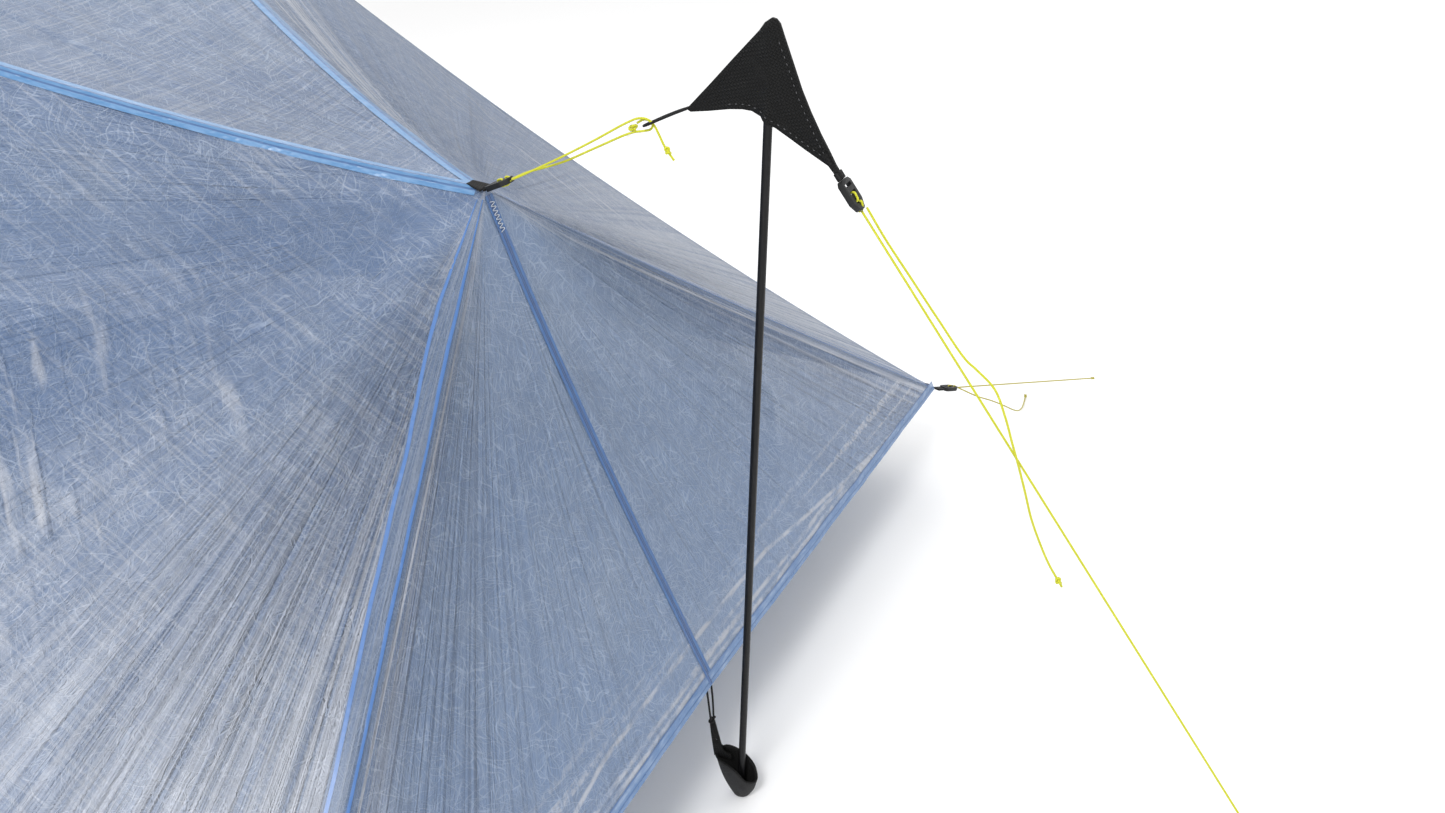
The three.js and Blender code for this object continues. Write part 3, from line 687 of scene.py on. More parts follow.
class Finish(Enum):
    """Every finish on the tent, by the piece it is made for."""

    CANOPY = Laminate()
    DOOR = Laminate(name="door_laminate", pleated=False)
    # Its patch tone is painted sheen, as on the canopy.
    TUB = Laminate(name="floor_laminate", film=rgb(86, 100, 122), shade=rgb(70, 84, 106),
                   fibre=rgb(150, 164, 186), painted_sheen=rgb(100, 108, 122), see_through=0.97,
                   pleated=False)
    SEAM = Tape("seam_tape")
    FAINT_SEAM = Tape("corner_seam_tape", base=rgb(98, 120, 152), edge=rgb(38, 98, 166),
                      haze=rgb(116, 134, 160), lines=(-0.86, -0.05), see_through=0.34,
                      roughness=0.5, line=0.13, line_cover=0.58)
    SPINE = Tape("spine_tape", base=rgb(30, 80, 136), edge=rgb(8, 34, 76),
                 haze=rgb(62, 110, 162), lines=(-0.20, 0.20), see_through=0.96, line=0.15)
    HEM = Tape("hem_tape", base=rgb(84, 118, 162), edge=rgb(54, 92, 142),
               haze=rgb(150, 168, 194), lines=(-0.86, 0.3), roughness=0.34)
    ZIP = Tape("zip_tape", base=rgb(60, 70, 84), edge=rgb(20, 22, 26), haze=rgb(88, 98, 112),
               lines=(-0.14, 0.14), roughness=0.5, see_through=1.0)
    # Each weave's gap colour is painted shade between its yarns.
    CAP = Woven("cap_weave", yarn=rgb(17, 17, 17), gap=rgb(3, 3, 3), pitch=0.0021, turn=0.62,
                sheen=0.02)
    CUP = Woven("cup_weave", yarn=rgb(48, 48, 49), gap=rgb(16, 16, 16), pitch=0.0013, turn=0.3)
    WEBBING = Woven("webbing_weave", yarn=rgb(24, 24, 25), gap=rgb(6, 6, 6), pitch=0.0011,
                    plane=("X", "Y"))
    # Each braid's groove colour is painted shade between its strands.
    LIME = Braid("lime_cord", yarn=rgb(198, 199, 40), painted_groove_shade=rgb(134, 134, 22),
                 fleck=rgb(214, 214, 88))
    PALE = Braid("pale_cord", yarn=rgb(176, 166, 68), painted_groove_shade=rgb(122, 114, 38),
                 fleck=rgb(202, 192, 104))
    BLACK_CORD = Braid("black_cord", yarn=rgb(18, 18, 19), painted_groove_shade=rgb(5, 5, 5),
                       fleck=rgb(34, 34, 36), pitch=0.0026, sheen=0.0)
    TACK = Braid("tack_thread", yarn=rgb(196, 204, 216), painted_groove_shade=rgb(40, 52, 72),
                 fleck=rgb(226, 230, 236), pitch=0.0016)
    WHITE_TIP = Moulded("sealed_tip", base=rgb(236, 236, 216), scuff=rgb(210, 208, 180),
                        roughness=0.5)
    TENSIONER = Moulded("tensioner_plastic", base=rgb(16, 17, 18), scuff=rgb(44, 45, 48))
    TIP = Moulded("tip_plastic", base=rgb(18, 18, 19), scuff=rgb(58, 58, 60))
    RUBBER = Moulded("foot_rubber", base=rgb(28, 28, 28), scuff=rgb(60, 60, 58),
                     roughness=0.75, grain=700.0)
    ZIP_METAL = Moulded("zip_slider", base=rgb(52, 54, 58), scuff=rgb(120, 122, 126),
                        roughness=0.34)
    CARBON = Carbon()
    NETTING = Netting()
    THREAD = Moulded("thread", base=rgb(84, 84, 86), scuff=rgb(116, 116, 118), roughness=0.6)
    GROUND = Ground()


class Wardrobe:
    """Makes each finish's material once and hands it out."""

    def __init__(self) -> None:
        """Starts with nothing made."""
        self.made: dict[Finish, bpy.types.Material] = {}

    def get(self, finish: Finish) -> bpy.types.Material:
        """Returns the material of a finish."""
        if finish not in self.made:
            self.made[finish] = finish.value.material()
        return self.made[finish]


WARDROBE = Wardrobe()


# ---- meshes -----------------------------------------------------------------------------------


def unit(vector: Sequence[float]) -> np.ndarray:
    """Returns a vector of length 1."""
    array = np.asarray(vector, float)
    return array / np.linalg.norm(array)


def piece(name: str, bm: bmesh.types.BMesh, finish: Finish, body: str | None,
          smooth: bool = True) -> bpy.types.Object:
    """Turns a bmesh into a finished piece that rides on a body.

    Args:
        name: the piece's name.
        bm: its shape, which is freed.
        finish: what it is dressed in.
        body: the body it moves with, or None.
        smooth: whether its faces are shaded smooth.

    Returns:
        The new object.
    """
    mesh = bpy.data.meshes.new(name)
    bm.to_mesh(mesh)
    bm.free()
    mesh.polygons.foreach_set("use_smooth", [smooth] * len(mesh.polygons))
    made = bpy.data.objects.new(name, mesh)
    bpy.context.scene.collection.objects.link(made)
    mesh.materials.append(WARDROBE.get(finish))
    if body:
        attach(made, body)
    log.info("%s: %d faces", name, len(mesh.polygons))
    return made


def store(made: bpy.types.Object, name: str, values: np.ndarray) -> None:
    """Writes one number for each vertex of a piece."""
    layer = made.data.attributes.new(name, "FLOAT", "POINT")
    layer.data.foreach_set("value", np.asarray(values, np.float32))


def face_corners(made: bpy.types.Object) -> np.ndarray:
    """Returns the vertex number at each corner of each face."""
    return np.array([loop.vertex_index for loop in made.data.loops])


def store_uv(made: bpy.types.Object, name: str, across: np.ndarray, up: np.ndarray) -> None:
    """Writes a UV map, with one value across and one up for each corner of each face."""
    layer = made.data.uv_layers.new(name=name)
    layer.data.foreach_set("uv", np.stack([across, up], axis=1).ravel())


def pull(bm: bmesh.types.BMesh, edges: Sequence[bmesh.types.BMEdge]) -> tuple[list, list]:
    """Extrudes a row of edges.

    Args:
        bm: the shape.
        edges: the row.

    Returns:
        The new vertices, and the new edges that join them.
    """
    made = bmesh.ops.extrude_edge_only(bm, edges=edges)["geom"]
    verts = [item for item in made if isinstance(item, bmesh.types.BMVert)]
    fresh = set(verts)
    return verts, [item for item in made if isinstance(item, bmesh.types.BMEdge)
                   and fresh.issuperset(item.verts)]


def face_toward(bm: bmesh.types.BMesh, outward: Sequence[float]) -> None:
    """Turns a patch over if most of it looks away from a direction."""
    bm.normal_update()
    if sum((face.normal @ Vector(outward) for face in bm.faces), 0.0) < 0:
        bmesh.ops.reverse_faces(bm, faces=bm.faces[:])


def cut(bm: bmesh.types.BMesh, place: Sequence[float], normal: Sequence[float]) -> None:
    """Cuts every face that a plane crosses."""
    bmesh.ops.bisect_plane(bm, geom=bm.verts[:] + bm.edges[:] + bm.faces[:], plane_co=place,
                           plane_no=normal)


def lengths_along(path: np.ndarray) -> np.ndarray:
    """Returns each point's distance along a line."""
    return np.concatenate([[0], np.cumsum(np.linalg.norm(np.diff(path, axis=0), axis=1))])


def between(first: np.ndarray, second: np.ndarray, start: float, stop: float, spot: float
            ) -> np.ndarray:
    """Returns the point at spot on the way from first, at start, to second, at stop."""
    return (stop - spot) / (stop - start) * first + (spot - start) / (stop - start) * second


def smooth_path(points: Sequence[Point], steps: int) -> np.ndarray:
    """Lays a smooth line through given points.

    Args:
        points: the route, in metres.
        steps: how many equal steps the line is cut into.

    Returns:
        steps + 1 points, evenly spaced along the line.
    """
    knots = np.asarray(points, float)
    ends = np.vstack([2 * knots[0] - knots[1], knots, 2 * knots[-1] - knots[-2]])
    dense = []
    for index in range(1, len(ends) - 2):
        before, here, there, after = ends[index - 1:index + 3]
        times = [0.0]
        for start, stop in ((before, here), (here, there), (there, after)):
            times.append(times[-1] + max(np.linalg.norm(stop - start), 1e-9) ** 0.5)
        t0, t1, t2, t3 = times
        for t in np.linspace(t1, t2, 24, endpoint=False):
            middle = between(here, there, t1, t2, t)
            low = between(between(before, here, t0, t1, t), middle, t0, t2, t)
            high = between(middle, between(there, after, t2, t3, t), t1, t3, t)
            dense.append(between(low, high, t1, t2, t))
    dense = np.array(dense + [knots[-1]])
    lengths = lengths_along(dense)
    even = np.linspace(0, lengths[-1], steps + 1)
    return np.stack([np.interp(even, lengths, dense[:, axis]) for axis in range(3)], axis=1)


def path_frames(path: np.ndarray) -> list[Matrix]:
    """Sets a frame at each point of a line.

    Args:
        path: the line's points.

    Returns:
        The frames, each with z along the line and no twist from the one before.
    """
    tangents = np.gradient(path, axis=0)
    tangents /= np.linalg.norm(tangents, axis=1)[:, None]
    before = Vector(tangents[0])
    side = before.orthogonal().normalized()
    frames = []
    for place, tangent in zip(path, tangents):
        now = Vector(tangent)
        side = before.rotation_difference(now) @ side
        side = (side - now * side.dot(now)).normalized()
        up = now.cross(side)
        turn = Matrix((side, up, now)).transposed().to_4x4()
        frames.append(Matrix.Translation(Vector(place)) @ turn)
        before = now
    return frames


def sweep(path: np.ndarray, radius: float | Callable[[float], float], sides: int = 10
          ) -> tuple[bmesh.types.BMesh, np.ndarray, np.ndarray]:
    """Extrudes a ring along a line and closes both ends.

    Args:
        path: the line's points.
        radius: the ring's radius, or a function of the share of the way along.
        sides: corners of the ring.

    Returns:
        The bmesh, each vertex's distance along the line, and its angle round it.
    """
    frames = path_frames(path)
    reach = lengths_along(path)
    size = radius if callable(radius) else (lambda share: radius)
    bm = bmesh.new()
    along = bm.verts.layers.float.new("along_made")
    angle = bm.verts.layers.float.new("angle_made")
    ring = bmesh.ops.create_circle(bm, segments=sides, radius=1.0)["verts"]
    corners = [(vert.co.x, vert.co.y) for vert in ring]
    bm.faces.new(ring[::-1])
    edges = bm.edges[:]
    for index, place in enumerate(frames):
        if index:
            ring, edges = pull(bm, edges)
        scale = size(reach[index] / reach[-1])
        for vert, (x, y) in zip(ring, corners):
            vert.co = place @ Vector((x * scale, y * scale, 0))
            vert[along] = reach[index]
            vert[angle] = math.atan2(y, x)
    bmesh.ops.holes_fill(bm, edges=[e for e in bm.edges if e.is_boundary], sides=0)
    bmesh.ops.recalc_face_normals(bm, faces=bm.faces[:])
    distance = np.array([vert[along] for vert in bm.verts])
    return bm, distance, np.array([vert[angle] for vert in bm.verts])


def cord_piece(name: str, path: np.ndarray, radius: float | Callable[[float], float],
               finish: Finish, body: str | None, sides: int = 10
               ) -> bpy.types.Object:
    """Makes a braided cord along a line, with what its braid needs stored on it.

    Args:
        name: the piece's name.
        path: its centre line.
        radius: its radius, or a function of the share of the way along.
        finish: its braid.
        body: the body it rides on, or None.
        sides: corners of its cross-section.

    Returns:
        The cord.
    """
    bm, distance, turn = sweep(path, radius, sides)
    made = piece(name, bm, finish, body)
    store(made, "along", distance)
    store(made, "round_x", np.cos(turn))
    store(made, "round_y", np.sin(turn))
    return made


# ---- cloth ------------------------------------------------------------------------------------


@dataclass(frozen=True)
class Sag:
    """How a sewn line hangs off the straight line between its ends."""

    depth: float = 0.0
    toward: tuple = (0.0, 0.0, -1.0)
    skew: float = 0.0

    def at(self, share: np.ndarray) -> np.ndarray:
        """Returns the offset at each share of the way from the first end."""
        t = np.clip(share, 0, 1)
        size = self.depth * 4 * t * (1 - t) * np.maximum(1 + self.skew * (1 - 2 * t), 0.0)
        return size[:, None] * unit(self.toward)[None, :]


@dataclass(frozen=True)
class Ripple:
    """A fan of shallow folds that spreads from a panel's apex."""

    height: float = 0.0
    folds: float = 9.0
    seed: int = 1
    peak: float = 0.45


@dataclass(frozen=True)
class Panel:
    """One three-cornered panel: its apex, its far edge, and how each line and face hangs."""

    apex: tuple
    first: tuple
    second: tuple
    seam_first: Sag = Sag()
    seam_second: Sag = Sag()
    edge: Sag = Sag()
    dish: float = 0.0
    ripple: Ripple = Ripple()
    free_edge: bool = False
    fan_start: float = 0.0
    fan_sign: float = 1.0
    offset: tuple = (0.0, 0.0)

    def seams(self) -> tuple[np.ndarray, np.ndarray]:
        """Returns the runs from the apex to the two far corners."""
        return np.subtract(self.first, self.apex), np.subtract(self.second, self.apex)

    def middle(self) -> np.ndarray:
        """Returns the middle of the panel."""
        return (np.array(self.apex) + self.first + self.second) / 3

    def area(self) -> float:
        """Returns the flat area, in square metres."""
        return 0.5 * float(np.linalg.norm(np.cross(*self.seams())))

    def basis(self) -> tuple[np.ndarray, np.ndarray, np.ndarray]:
        """Finds the panel's own directions.

        Returns:
            Unit vectors along the far edge, up the panel and out of it.
        """
        along = unit(np.subtract(self.second, self.first))
        out = unit(np.cross(*self.seams()))
        middle = self.middle()
        if out @ np.array([middle[0], middle[1], 0.35]) < 0:
            out = -out
        return along, np.cross(out, along), out

    def shares(self, flat: np.ndarray) -> tuple[np.ndarray, np.ndarray]:
        """Says where flat points lie.

        Args:
            flat: points in the panel's plane.

        Returns:
            The share of the way from apex to far edge, and the share along that edge.
        """
        pair = np.stack(self.seams(), axis=1)
        weights = np.linalg.lstsq(pair, (flat - np.array(self.apex)).T, rcond=None)[0]
        reach = np.clip(weights.sum(axis=0), 1e-6, None)
        return reach, np.clip(weights[1] / reach, 0, 1)

    def lifted(self, flat: np.ndarray) -> np.ndarray:
        """Moves flat points to where the hung cloth is.

        Args:
            flat: points in the panel's plane.

        Returns:
            The points on the cloth.
        """
        r, s = self.shares(flat)
        r = np.clip(r, 0, 1)
        out = self.basis()[2]
        moved = flat + self.seam_first.at(r) * (1 - s)[:, None]
        moved = moved + self.seam_second.at(r) * s[:, None]
        moved = moved + self.edge.at(s) * (r ** 1.6)[:, None]
        between = np.sin(np.pi * s)
        hold = np.ones_like(r) if self.free_edge else 1 - r ** 6
        lift = -self.dish * 4 * r * (1 - r) * between
        lift = lift + self.folds(r, s) * np.sqrt(between) * hold
        return moved + lift[:, None] * out[None, :]

    def folds(self, r: np.ndarray, s: np.ndarray) -> np.ndarray:
        """Heaps a few waves of different widths into shallow folds.

        Args:
            r: each point's share of the way from the apex.
            s: its share along the far edge.

        Returns:
            The height of the folds there, in metres.
        """
        if not self.ripple.height:
            return np.zeros_like(r)
        rng = np.random.default_rng(self.ripple.seed)
        total = np.zeros_like(r)
        for index in range(6):
            folds = self.ripple.folds * (0.45 + 0.4 * index) * rng.uniform(0.85, 1.15)
            phase, drift = rng.uniform(0, 2 * np.pi), rng.uniform(-2.2, 2.2)
            weight = rng.uniform(0.5, 1.0) / (1 + 0.55 * index)
            total += weight * np.sin(2 * np.pi * folds * s + phase + drift * r)
        swell = (r / self.ripple.peak) * np.exp(1 - r / self.ripple.peak)
        return self.ripple.height * total * np.clip(swell, 0, 1) * 0.5


class Cloth:
    """Builds sheets of cloth from panels that share their seams."""

    @staticmethod
    def sheet(name: str, panels: Sequence[Panel], cuts: int, finish: Finish, body: str | None,
              slot: str, gather: float = 1.0) -> bpy.types.Object:
        """Sews panels into one sheet and hangs it.

        Args:
            name: the sheet's name.
            panels: its panels; corners at one place are shared.
            cuts: how many cuts divide each panel's edges.
            finish: what it is dressed in.
            body: the body it rides on, or None.
            slot: not used.
            gather: above 1, draws the mesh's points towards each apex.

        Returns:
            The sheet.
        """
        bm = bmesh.new()
        tag = bm.faces.layers.int.new("panel")
        corners: dict[tuple, bmesh.types.BMVert] = {}
        for index, panel in enumerate(panels):
            ring = []
            for corner in (panel.apex, panel.first, panel.second):
                key = tuple(round(value, 6) for value in corner)
                if key not in corners:
                    corners[key] = bm.verts.new(corner)
                ring.append(corners[key])
            face = bm.faces.new(ring)
            face[tag] = index
            face.normal_update()
            if face.normal @ Vector(panel.basis()[2]) < 0:
                face.normal_flip()
        bmesh.ops.subdivide_edges(bm, edges=bm.edges[:], cuts=cuts, use_grid_fill=True)
        made = piece(name, bm, finish, body)
        Cloth.hang(made, panels, gather)
        return made

    @staticmethod
    def hang(made: bpy.types.Object, panels: Sequence[Panel], gather: float) -> None:
        """Moves a flat sheet's points onto its hung shape and stores what its finish reads.

        Args:
            made: the flat sheet, with each face's panel stored on it.
            panels: the panels it was made from.
            gather: as in sheet.
        """
        mesh = made.data
        count = len(mesh.vertices)
        flat = np.zeros(count * 3)
        mesh.vertices.foreach_get("co", flat)
        flat = flat.reshape(-1, 3)
        tags = np.zeros(len(mesh.polygons), int)
        mesh.attributes["panel"].data.foreach_get("value", tags)
        loops = face_corners(made)
        loop_panel = np.repeat(tags, [face.loop_total for face in mesh.polygons])
        owner = np.zeros(count, int)
        owner[loops] = loop_panel

        drawn = flat.copy()
        hung = flat.copy()
        reach, fan, border = np.zeros(count), np.zeros(count), np.zeros(count)
        for index, panel in enumerate(panels):
            mine = owner == index
            if not mine.any():
                continue
            r, _ = panel.shares(flat[mine])
            apex = np.array(panel.apex)
            drawn[mine] = apex + (flat[mine] - apex) * (np.clip(r, 1e-6, 1)
                                                        ** (gather - 1))[:, None]
            hung[mine] = panel.lifted(drawn[mine])
            r, s = panel.shares(drawn[mine])
            reach[mine] = np.linalg.norm(drawn[mine] - apex, axis=1)
            fan[mine] = panel.fan_start + panel.fan_sign * Cloth.angle(panel, s)
            border[mine] = (1 - r) * abs((np.array(panel.first) - apex) @ panel.basis()[1])
        uv = np.zeros((len(loops), 2))
        for index, panel in enumerate(panels):
            mine = loop_panel == index
            along, up, _ = panel.basis()
            spots = drawn[loops[mine]] - np.array(panel.apex)
            uv[mine, 0] = spots @ along + panel.offset[0]
            uv[mine, 1] = spots @ up + panel.offset[1]
        mesh.vertices.foreach_set("co", hung.ravel())
        store_uv(made, "cloth", *uv.T)
        for key, values in (("reach", reach), ("fan", fan), ("border", border)):
            store(made, key, values)
        mesh.update()

    @staticmethod
    def angle(panel: Panel, s: np.ndarray) -> np.ndarray:
        """Measures angles at the apex.

        Args:
            panel: the panel.
            s: each point's share along the far edge.

        Returns:
            The angle from the panel's first seam to each point.
        """
        first = unit(panel.seams()[0])
        spot = (np.array(panel.first)[None, :] * (1 - s)[:, None]
                + np.array(panel.second)[None, :] * s[:, None]) - np.array(panel.apex)
        spot /= np.linalg.norm(spot, axis=1)[:, None]
        return np.arccos(np.clip(spot @ first, -1, 1))

    @staticmethod
    def tape(name: str, start: Sequence[float], stop: Sequence[float],
             sides: Sequence[tuple[Panel, float]], finish: Finish, body: str | None, slot: str,
             steps: int = 60, lift: float = 0.0007, trim: tuple[float, float] = (0.0, 0.0),
             grow: float = 0.0) -> bpy.types.Object:
        """Lays a tape along a sewn line, on the panels to one side of it or both.

        Args:
            name: the tape's name.
            start: flat point where the line starts.
            stop: flat point where it ends.
            sides: each panel that the tape lies on, and how far onto it, in metres.
            finish: its finish.
            body: the body it rides on, or None.
            slot: not used.
            steps: steps along it.
            lift: how far it stands off the cloth.
            trim: lengths left off its two ends.
            grow: length over which it widens to its full width, from its start.

        Returns:
            The tape.
        """
        begin, end = np.array(start, float), np.array(stop, float)
        whole = np.linalg.norm(end - begin)
        along = (end - begin) / whole
        distance = np.linspace(trim[0], whole - trim[1], steps + 1)
        centre = begin + distance[:, None] * along
        full = np.ones(steps + 1) if grow == 0 else np.clip(0.2 + 0.8 * distance / grow, 0, 1)
        rows, places = [], []
        for number, (panel, width) in enumerate(sides):
            inward = panel.middle() - begin
            inward = unit(inward - along * (inward @ along))
            out = panel.basis()[2]
            shares = (1.0, 0.62, 0.28, 0.0) if number == 0 else (0.28, 0.62, 1.0)
            for share in shares:
                rows.append(panel.lifted(centre + inward * (width * share * full)[:, None])
                            + out * lift)
                places.append((-share if number == 0 else share) if len(sides) > 1
                              else 1 - 2 * share)
        grid = np.stack(rows, axis=1)
        bm = bmesh.new()
        line = [bm.verts.new(spot) for spot in grid[0]]
        edges = [bm.edges.new(pair) for pair in zip(line, line[1:])]
        for row in grid[1:]:
            verts, edges = pull(bm, edges)
            for vert, spot in zip(verts, row):
                vert.co = spot
        face_toward(bm, sides[0][0].basis()[2])
        made = piece(name, bm, finish, body)
        row, column = np.divmod(face_corners(made), len(places))
        store_uv(made, "tape", distance[row], np.array(places)[column])
        return made


# ---- the tent ---------------------------------------------------------------------------------


@dataclass
class Canopy:
    """The laminate canopy, its storm doors and all the tapes that bond their seams."""

    tie: tuple = (1.152, 0.679)
    hem: tuple = (1.315, 0.149)
    corner: tuple = (1.322, 0.697, 0.141)
    peak: tuple = (0.500, 1.220)
    vestibule: tuple = (1.050, 0.060)
    seam_width: float = 0.0092
    crease_width: float = 0.021
    hem_width: float = 0.013
    patch_length: float = 0.017
    patch_width: float = 0.015
    zip_width: float = 0.014
    hinge_start: float = 0.004
    hinge_stop: float = 0.16
    tack_start: float = 0.012
    tack_step: float = 0.0021
    tack_width: float = 0.0032
    tack_turns: int = 15
    cuts: int = 103
    panels: dict[str, Panel] = field(default_factory=dict)

    def spots(self, sx: int, sy: int) -> dict[str, tuple]:
        """Finds the canopy's corners at one end and side.

        Args:
            sx: 1 or -1 for the end.
            sy: 1 or -1 for the side.

        Returns:
            Each corner's name and place.
        """
        return {
            "tie": (sx * self.tie[0], 0.0, self.tie[1]),
            "hem": (sx * self.hem[0], 0.0, self.hem[1]),
            "corner": (sx * self.corner[0], sy * self.corner[1], self.corner[2]),
            "peak": (0.0, sy * self.peak[0], self.peak[1]),
            "vestibule": (0.0, sy * self.vestibule[0], self.vestibule[1]),
        }

    def lay_out(self) -> None:
        """Works out every panel's corners and how its lines hang."""
        for end, sx in ENDS.items():
            both = {side: self.spots(sx, sy) for side, sy in SIDES.items()}
            rib = {side: Sag(0.023, (-0.45 * sx, -0.23 * sy, -0.86), 1.3)
                   for side, sy in SIDES.items()}
            crease = {side: Sag(0.006, (-0.75 * sx, -0.25 * sy, -0.6))
                      for side, sy in SIDES.items()}
            spine = Sag(0.008, (-0.95 * sx, 0, -0.3), 0.3)
            span = {}
            for side, sy in SIDES.items():
                at = both[side]
                tie, corner = np.array(at["tie"]), np.array(at["corner"])
                span[side] = math.acos(float(unit(np.array(at["peak"]) - tie)
                                             @ unit(corner - tie)))
                valley = Sag(0.048, (-0.3 * sx, -0.45 * sy, -0.84), 0.05)
                shift = (sx * 3.0, sy * 2.0)
                self.panels[f"side_{end}_{side}"] = Panel(
                    at["tie"], at["corner"], at["peak"], crease[side], rib[side],
                    valley, 0.006, Ripple(0.0042, 12.0, 3 + sx + 2 * sy), False, 0.0, -1.0,
                    shift)
                self.panels[f"end_{end}_{side}"] = Panel(
                    at["tie"], at["corner"], at["hem"], crease[side], spine, Sag(), 0.004,
                    Ripple(0.0016, 7.0, 17 + sx + 2 * sy), True, 0.0, 1.0,
                    (shift[0] + 7, shift[1] + 5))
                self.panels[f"door_{end}_{side}"] = Panel(
                    at["vestibule"], at["corner"], at["peak"],
                    Sag(0.012, (0, -sy * 0.3, 0.95)), Sag(0.010, (0, -sy * 0.8, -0.5)),
                    valley, 0.010, Ripple(0.0030, 6.0, 31 + sx + 2 * sy), False, 0.0, 1.0,
                    (shift[0] + 1, shift[1] + 9))
            self.panels[f"roof_{end}"] = Panel(
                both["py"]["tie"], both["py"]["peak"], both["ny"]["peak"], rib["py"],
                rib["ny"], Sag(0.012, (0, 0, -1)), 0.008, Ripple(0.0022, 9.0, 51 + sx), False,
                -span["py"], -1.0, (sx * 11.0, 4.0))

    def build(self) -> None:
        """Makes the canopy sheet, the doors and their tapes."""
        self.lay_out()
        names = [name for name in self.panels if not name.startswith("door")]
        sheet = Cloth.sheet("canopy_sheet", [self.panels[name] for name in names], self.cuts,
                            Finish.CANOPY, "shelter", "canopy", gather=1.2)
        nodes = [f"roof_panel_{end}" for end in ENDS]
        nodes += [f"{kind}_panel_{end}_{side}" for kind in ("side", "end") for end in ENDS
                  for side in SIDES]
        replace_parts(sheet, *nodes)
        sum(self.panels[name].area() for name in names)
        for end, sx in ENDS.items():
            for side in SIDES:
                self.dress_corner(end, side)
                self.door(end, side)
            spine = self.spots(sx, 1)
            pair = [(self.panels[f"end_{end}_{side}"], self.seam_width * 0.62)
                    for side in SIDES]
            self.tie_patch(end)
            Cloth.tape(f"spine_tape_{end}", spine["tie"], spine["hem"], pair, Finish.SPINE,
                       "shelter", "canopy", steps=80, trim=(0.006, 0.001))
        ridge = [(self.panels[f"roof_{end}"], self.seam_width) for end in ENDS]
        Cloth.tape("ridge_tape", self.spots(1, 1)["peak"], self.spots(1, -1)["peak"], ridge,
                   Finish.SEAM, "shelter", "canopy", trim=(0.004, 0.004))

    def tie_patch(self, end: str) -> None:
        """Sews the black strap end onto the roof's apex and bar-tacks the spine below it.

        Args:
            end: which end of the tent.
        """
        roof = self.panels[f"roof_{end}"]
        sx = ENDS[end]
        apex = np.array(roof.apex)
        along, _, out = roof.basis()
        inward = unit((np.array(roof.first) + roof.second) / 2 - apex)
        bm = bmesh.new()
        bmesh.ops.create_grid(bm, x_segments=10, y_segments=8, size=0.5)
        for vert in bm.verts:
            run, wide = vert.co.x + 0.5, vert.co.y
            flat = (apex + inward * (0.0005 + self.patch_length * run)
                    + along * wide * self.patch_width * (1.15 - 0.45 * run))
            vert.co = roof.lifted(flat[None, :])[0] + out * 0.0016
        bmesh.ops.recalc_face_normals(bm, faces=bm.faces[:])
        face_toward(bm, out)
        bmesh.ops.solidify(bm, geom=bm.faces[:], thickness=0.0014)
        bmesh.ops.recalc_face_normals(bm, faces=bm.faces[:])
        piece(f"tie_patch_{end}", bm, Finish.WEBBING, "shelter")

        panel = self.panels[f"end_{end}_py"]
        down = unit(np.subtract(panel.second, panel.apex))
        across = np.array([0, sx, 0])
        turns = []
        for index in range(self.tack_turns):
            reach = self.tack_start + index * self.tack_step
            side = self.tack_width if index % 2 else -self.tack_width
            turns.append(panel.lifted((apex + down * reach)[None, :])[0] + across * side
                         + panel.basis()[2] * 0.0013)
        cord_piece(f"bar_tack_{end}", smooth_path(turns, 150), 0.0004, Finish.TACK, "shelter",
                   sides=6)

    def dress_corner(self, end: str, side: str) -> None:
        """Tapes the seams and the hem that meet at one corner.

        Args:
            end: which end of the tent.
            side: which side.
        """
        at = self.spots(ENDS[end], SIDES[side])
        side_panel = self.panels[f"side_{end}_{side}"]
        end_panel = self.panels[f"end_{end}_{side}"]
        roof = self.panels[f"roof_{end}"]
        key = f"{end}_{side}"
        Cloth.tape(f"rib_tape_{key}", at["tie"], at["peak"],
                   [(side_panel, self.seam_width), (roof, self.seam_width)], Finish.SEAM,
                   "shelter", "canopy", steps=110, trim=(0.008, 0.004))
        Cloth.tape(f"crease_tape_{key}", at["tie"], at["corner"],
                   [(side_panel, self.crease_width), (end_panel, self.crease_width * 0.2)],
                   Finish.FAINT_SEAM, "shelter", "canopy", steps=80, trim=(0.012, 0.004),
                   grow=0.12)
        Cloth.tape(f"edge_tape_{key}", at["corner"], at["peak"],
                   [(side_panel, self.hem_width * 0.6)], Finish.HEM, "shelter", "canopy",
                   steps=110, trim=(0.004, 0.004))
        Cloth.tape(f"end_hem_{key}", at["corner"], at["hem"], [(end_panel, self.hem_width)],
                   Finish.HEM, "shelter", "canopy", steps=80)

    def door(self, end: str, side: str) -> None:
        """Makes one storm door with its hem and its half of the zip.

        Args:
            end: which end of the tent.
            side: which side.
        """
        at = self.spots(ENDS[end], SIDES[side])
        key = f"{end}_{side}"
        body = f"storm_door_{key}"
        panel = self.panels[f"door_{key}"]
        sheet = Cloth.sheet(f"door_sheet_{key}", [panel], 71, Finish.DOOR, None, "storm_door")
        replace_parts(sheet, body)
        panel.area()
        hem = Cloth.tape(f"door_hem_{key}", at["vestibule"], at["corner"],
                         [(panel, self.hem_width)], Finish.HEM, None, "storm_door", steps=80,
                         trim=(0.0, 0.004))
        zip_tape = Cloth.tape(f"door_zip_{key}", at["vestibule"], at["peak"],
                              [(panel, self.zip_width)], Finish.ZIP, None, "storm_door", steps=80,
                              trim=(0.0, 0.004))
        corner, peak = np.array(at["corner"]), np.array(at["peak"])
        along = unit(peak - corner)
        away = np.array(at["vestibule"]) - corner
        away = unit(away - along * (away @ along))
        for part in (sheet, hem, zip_tape):
            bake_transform(part)


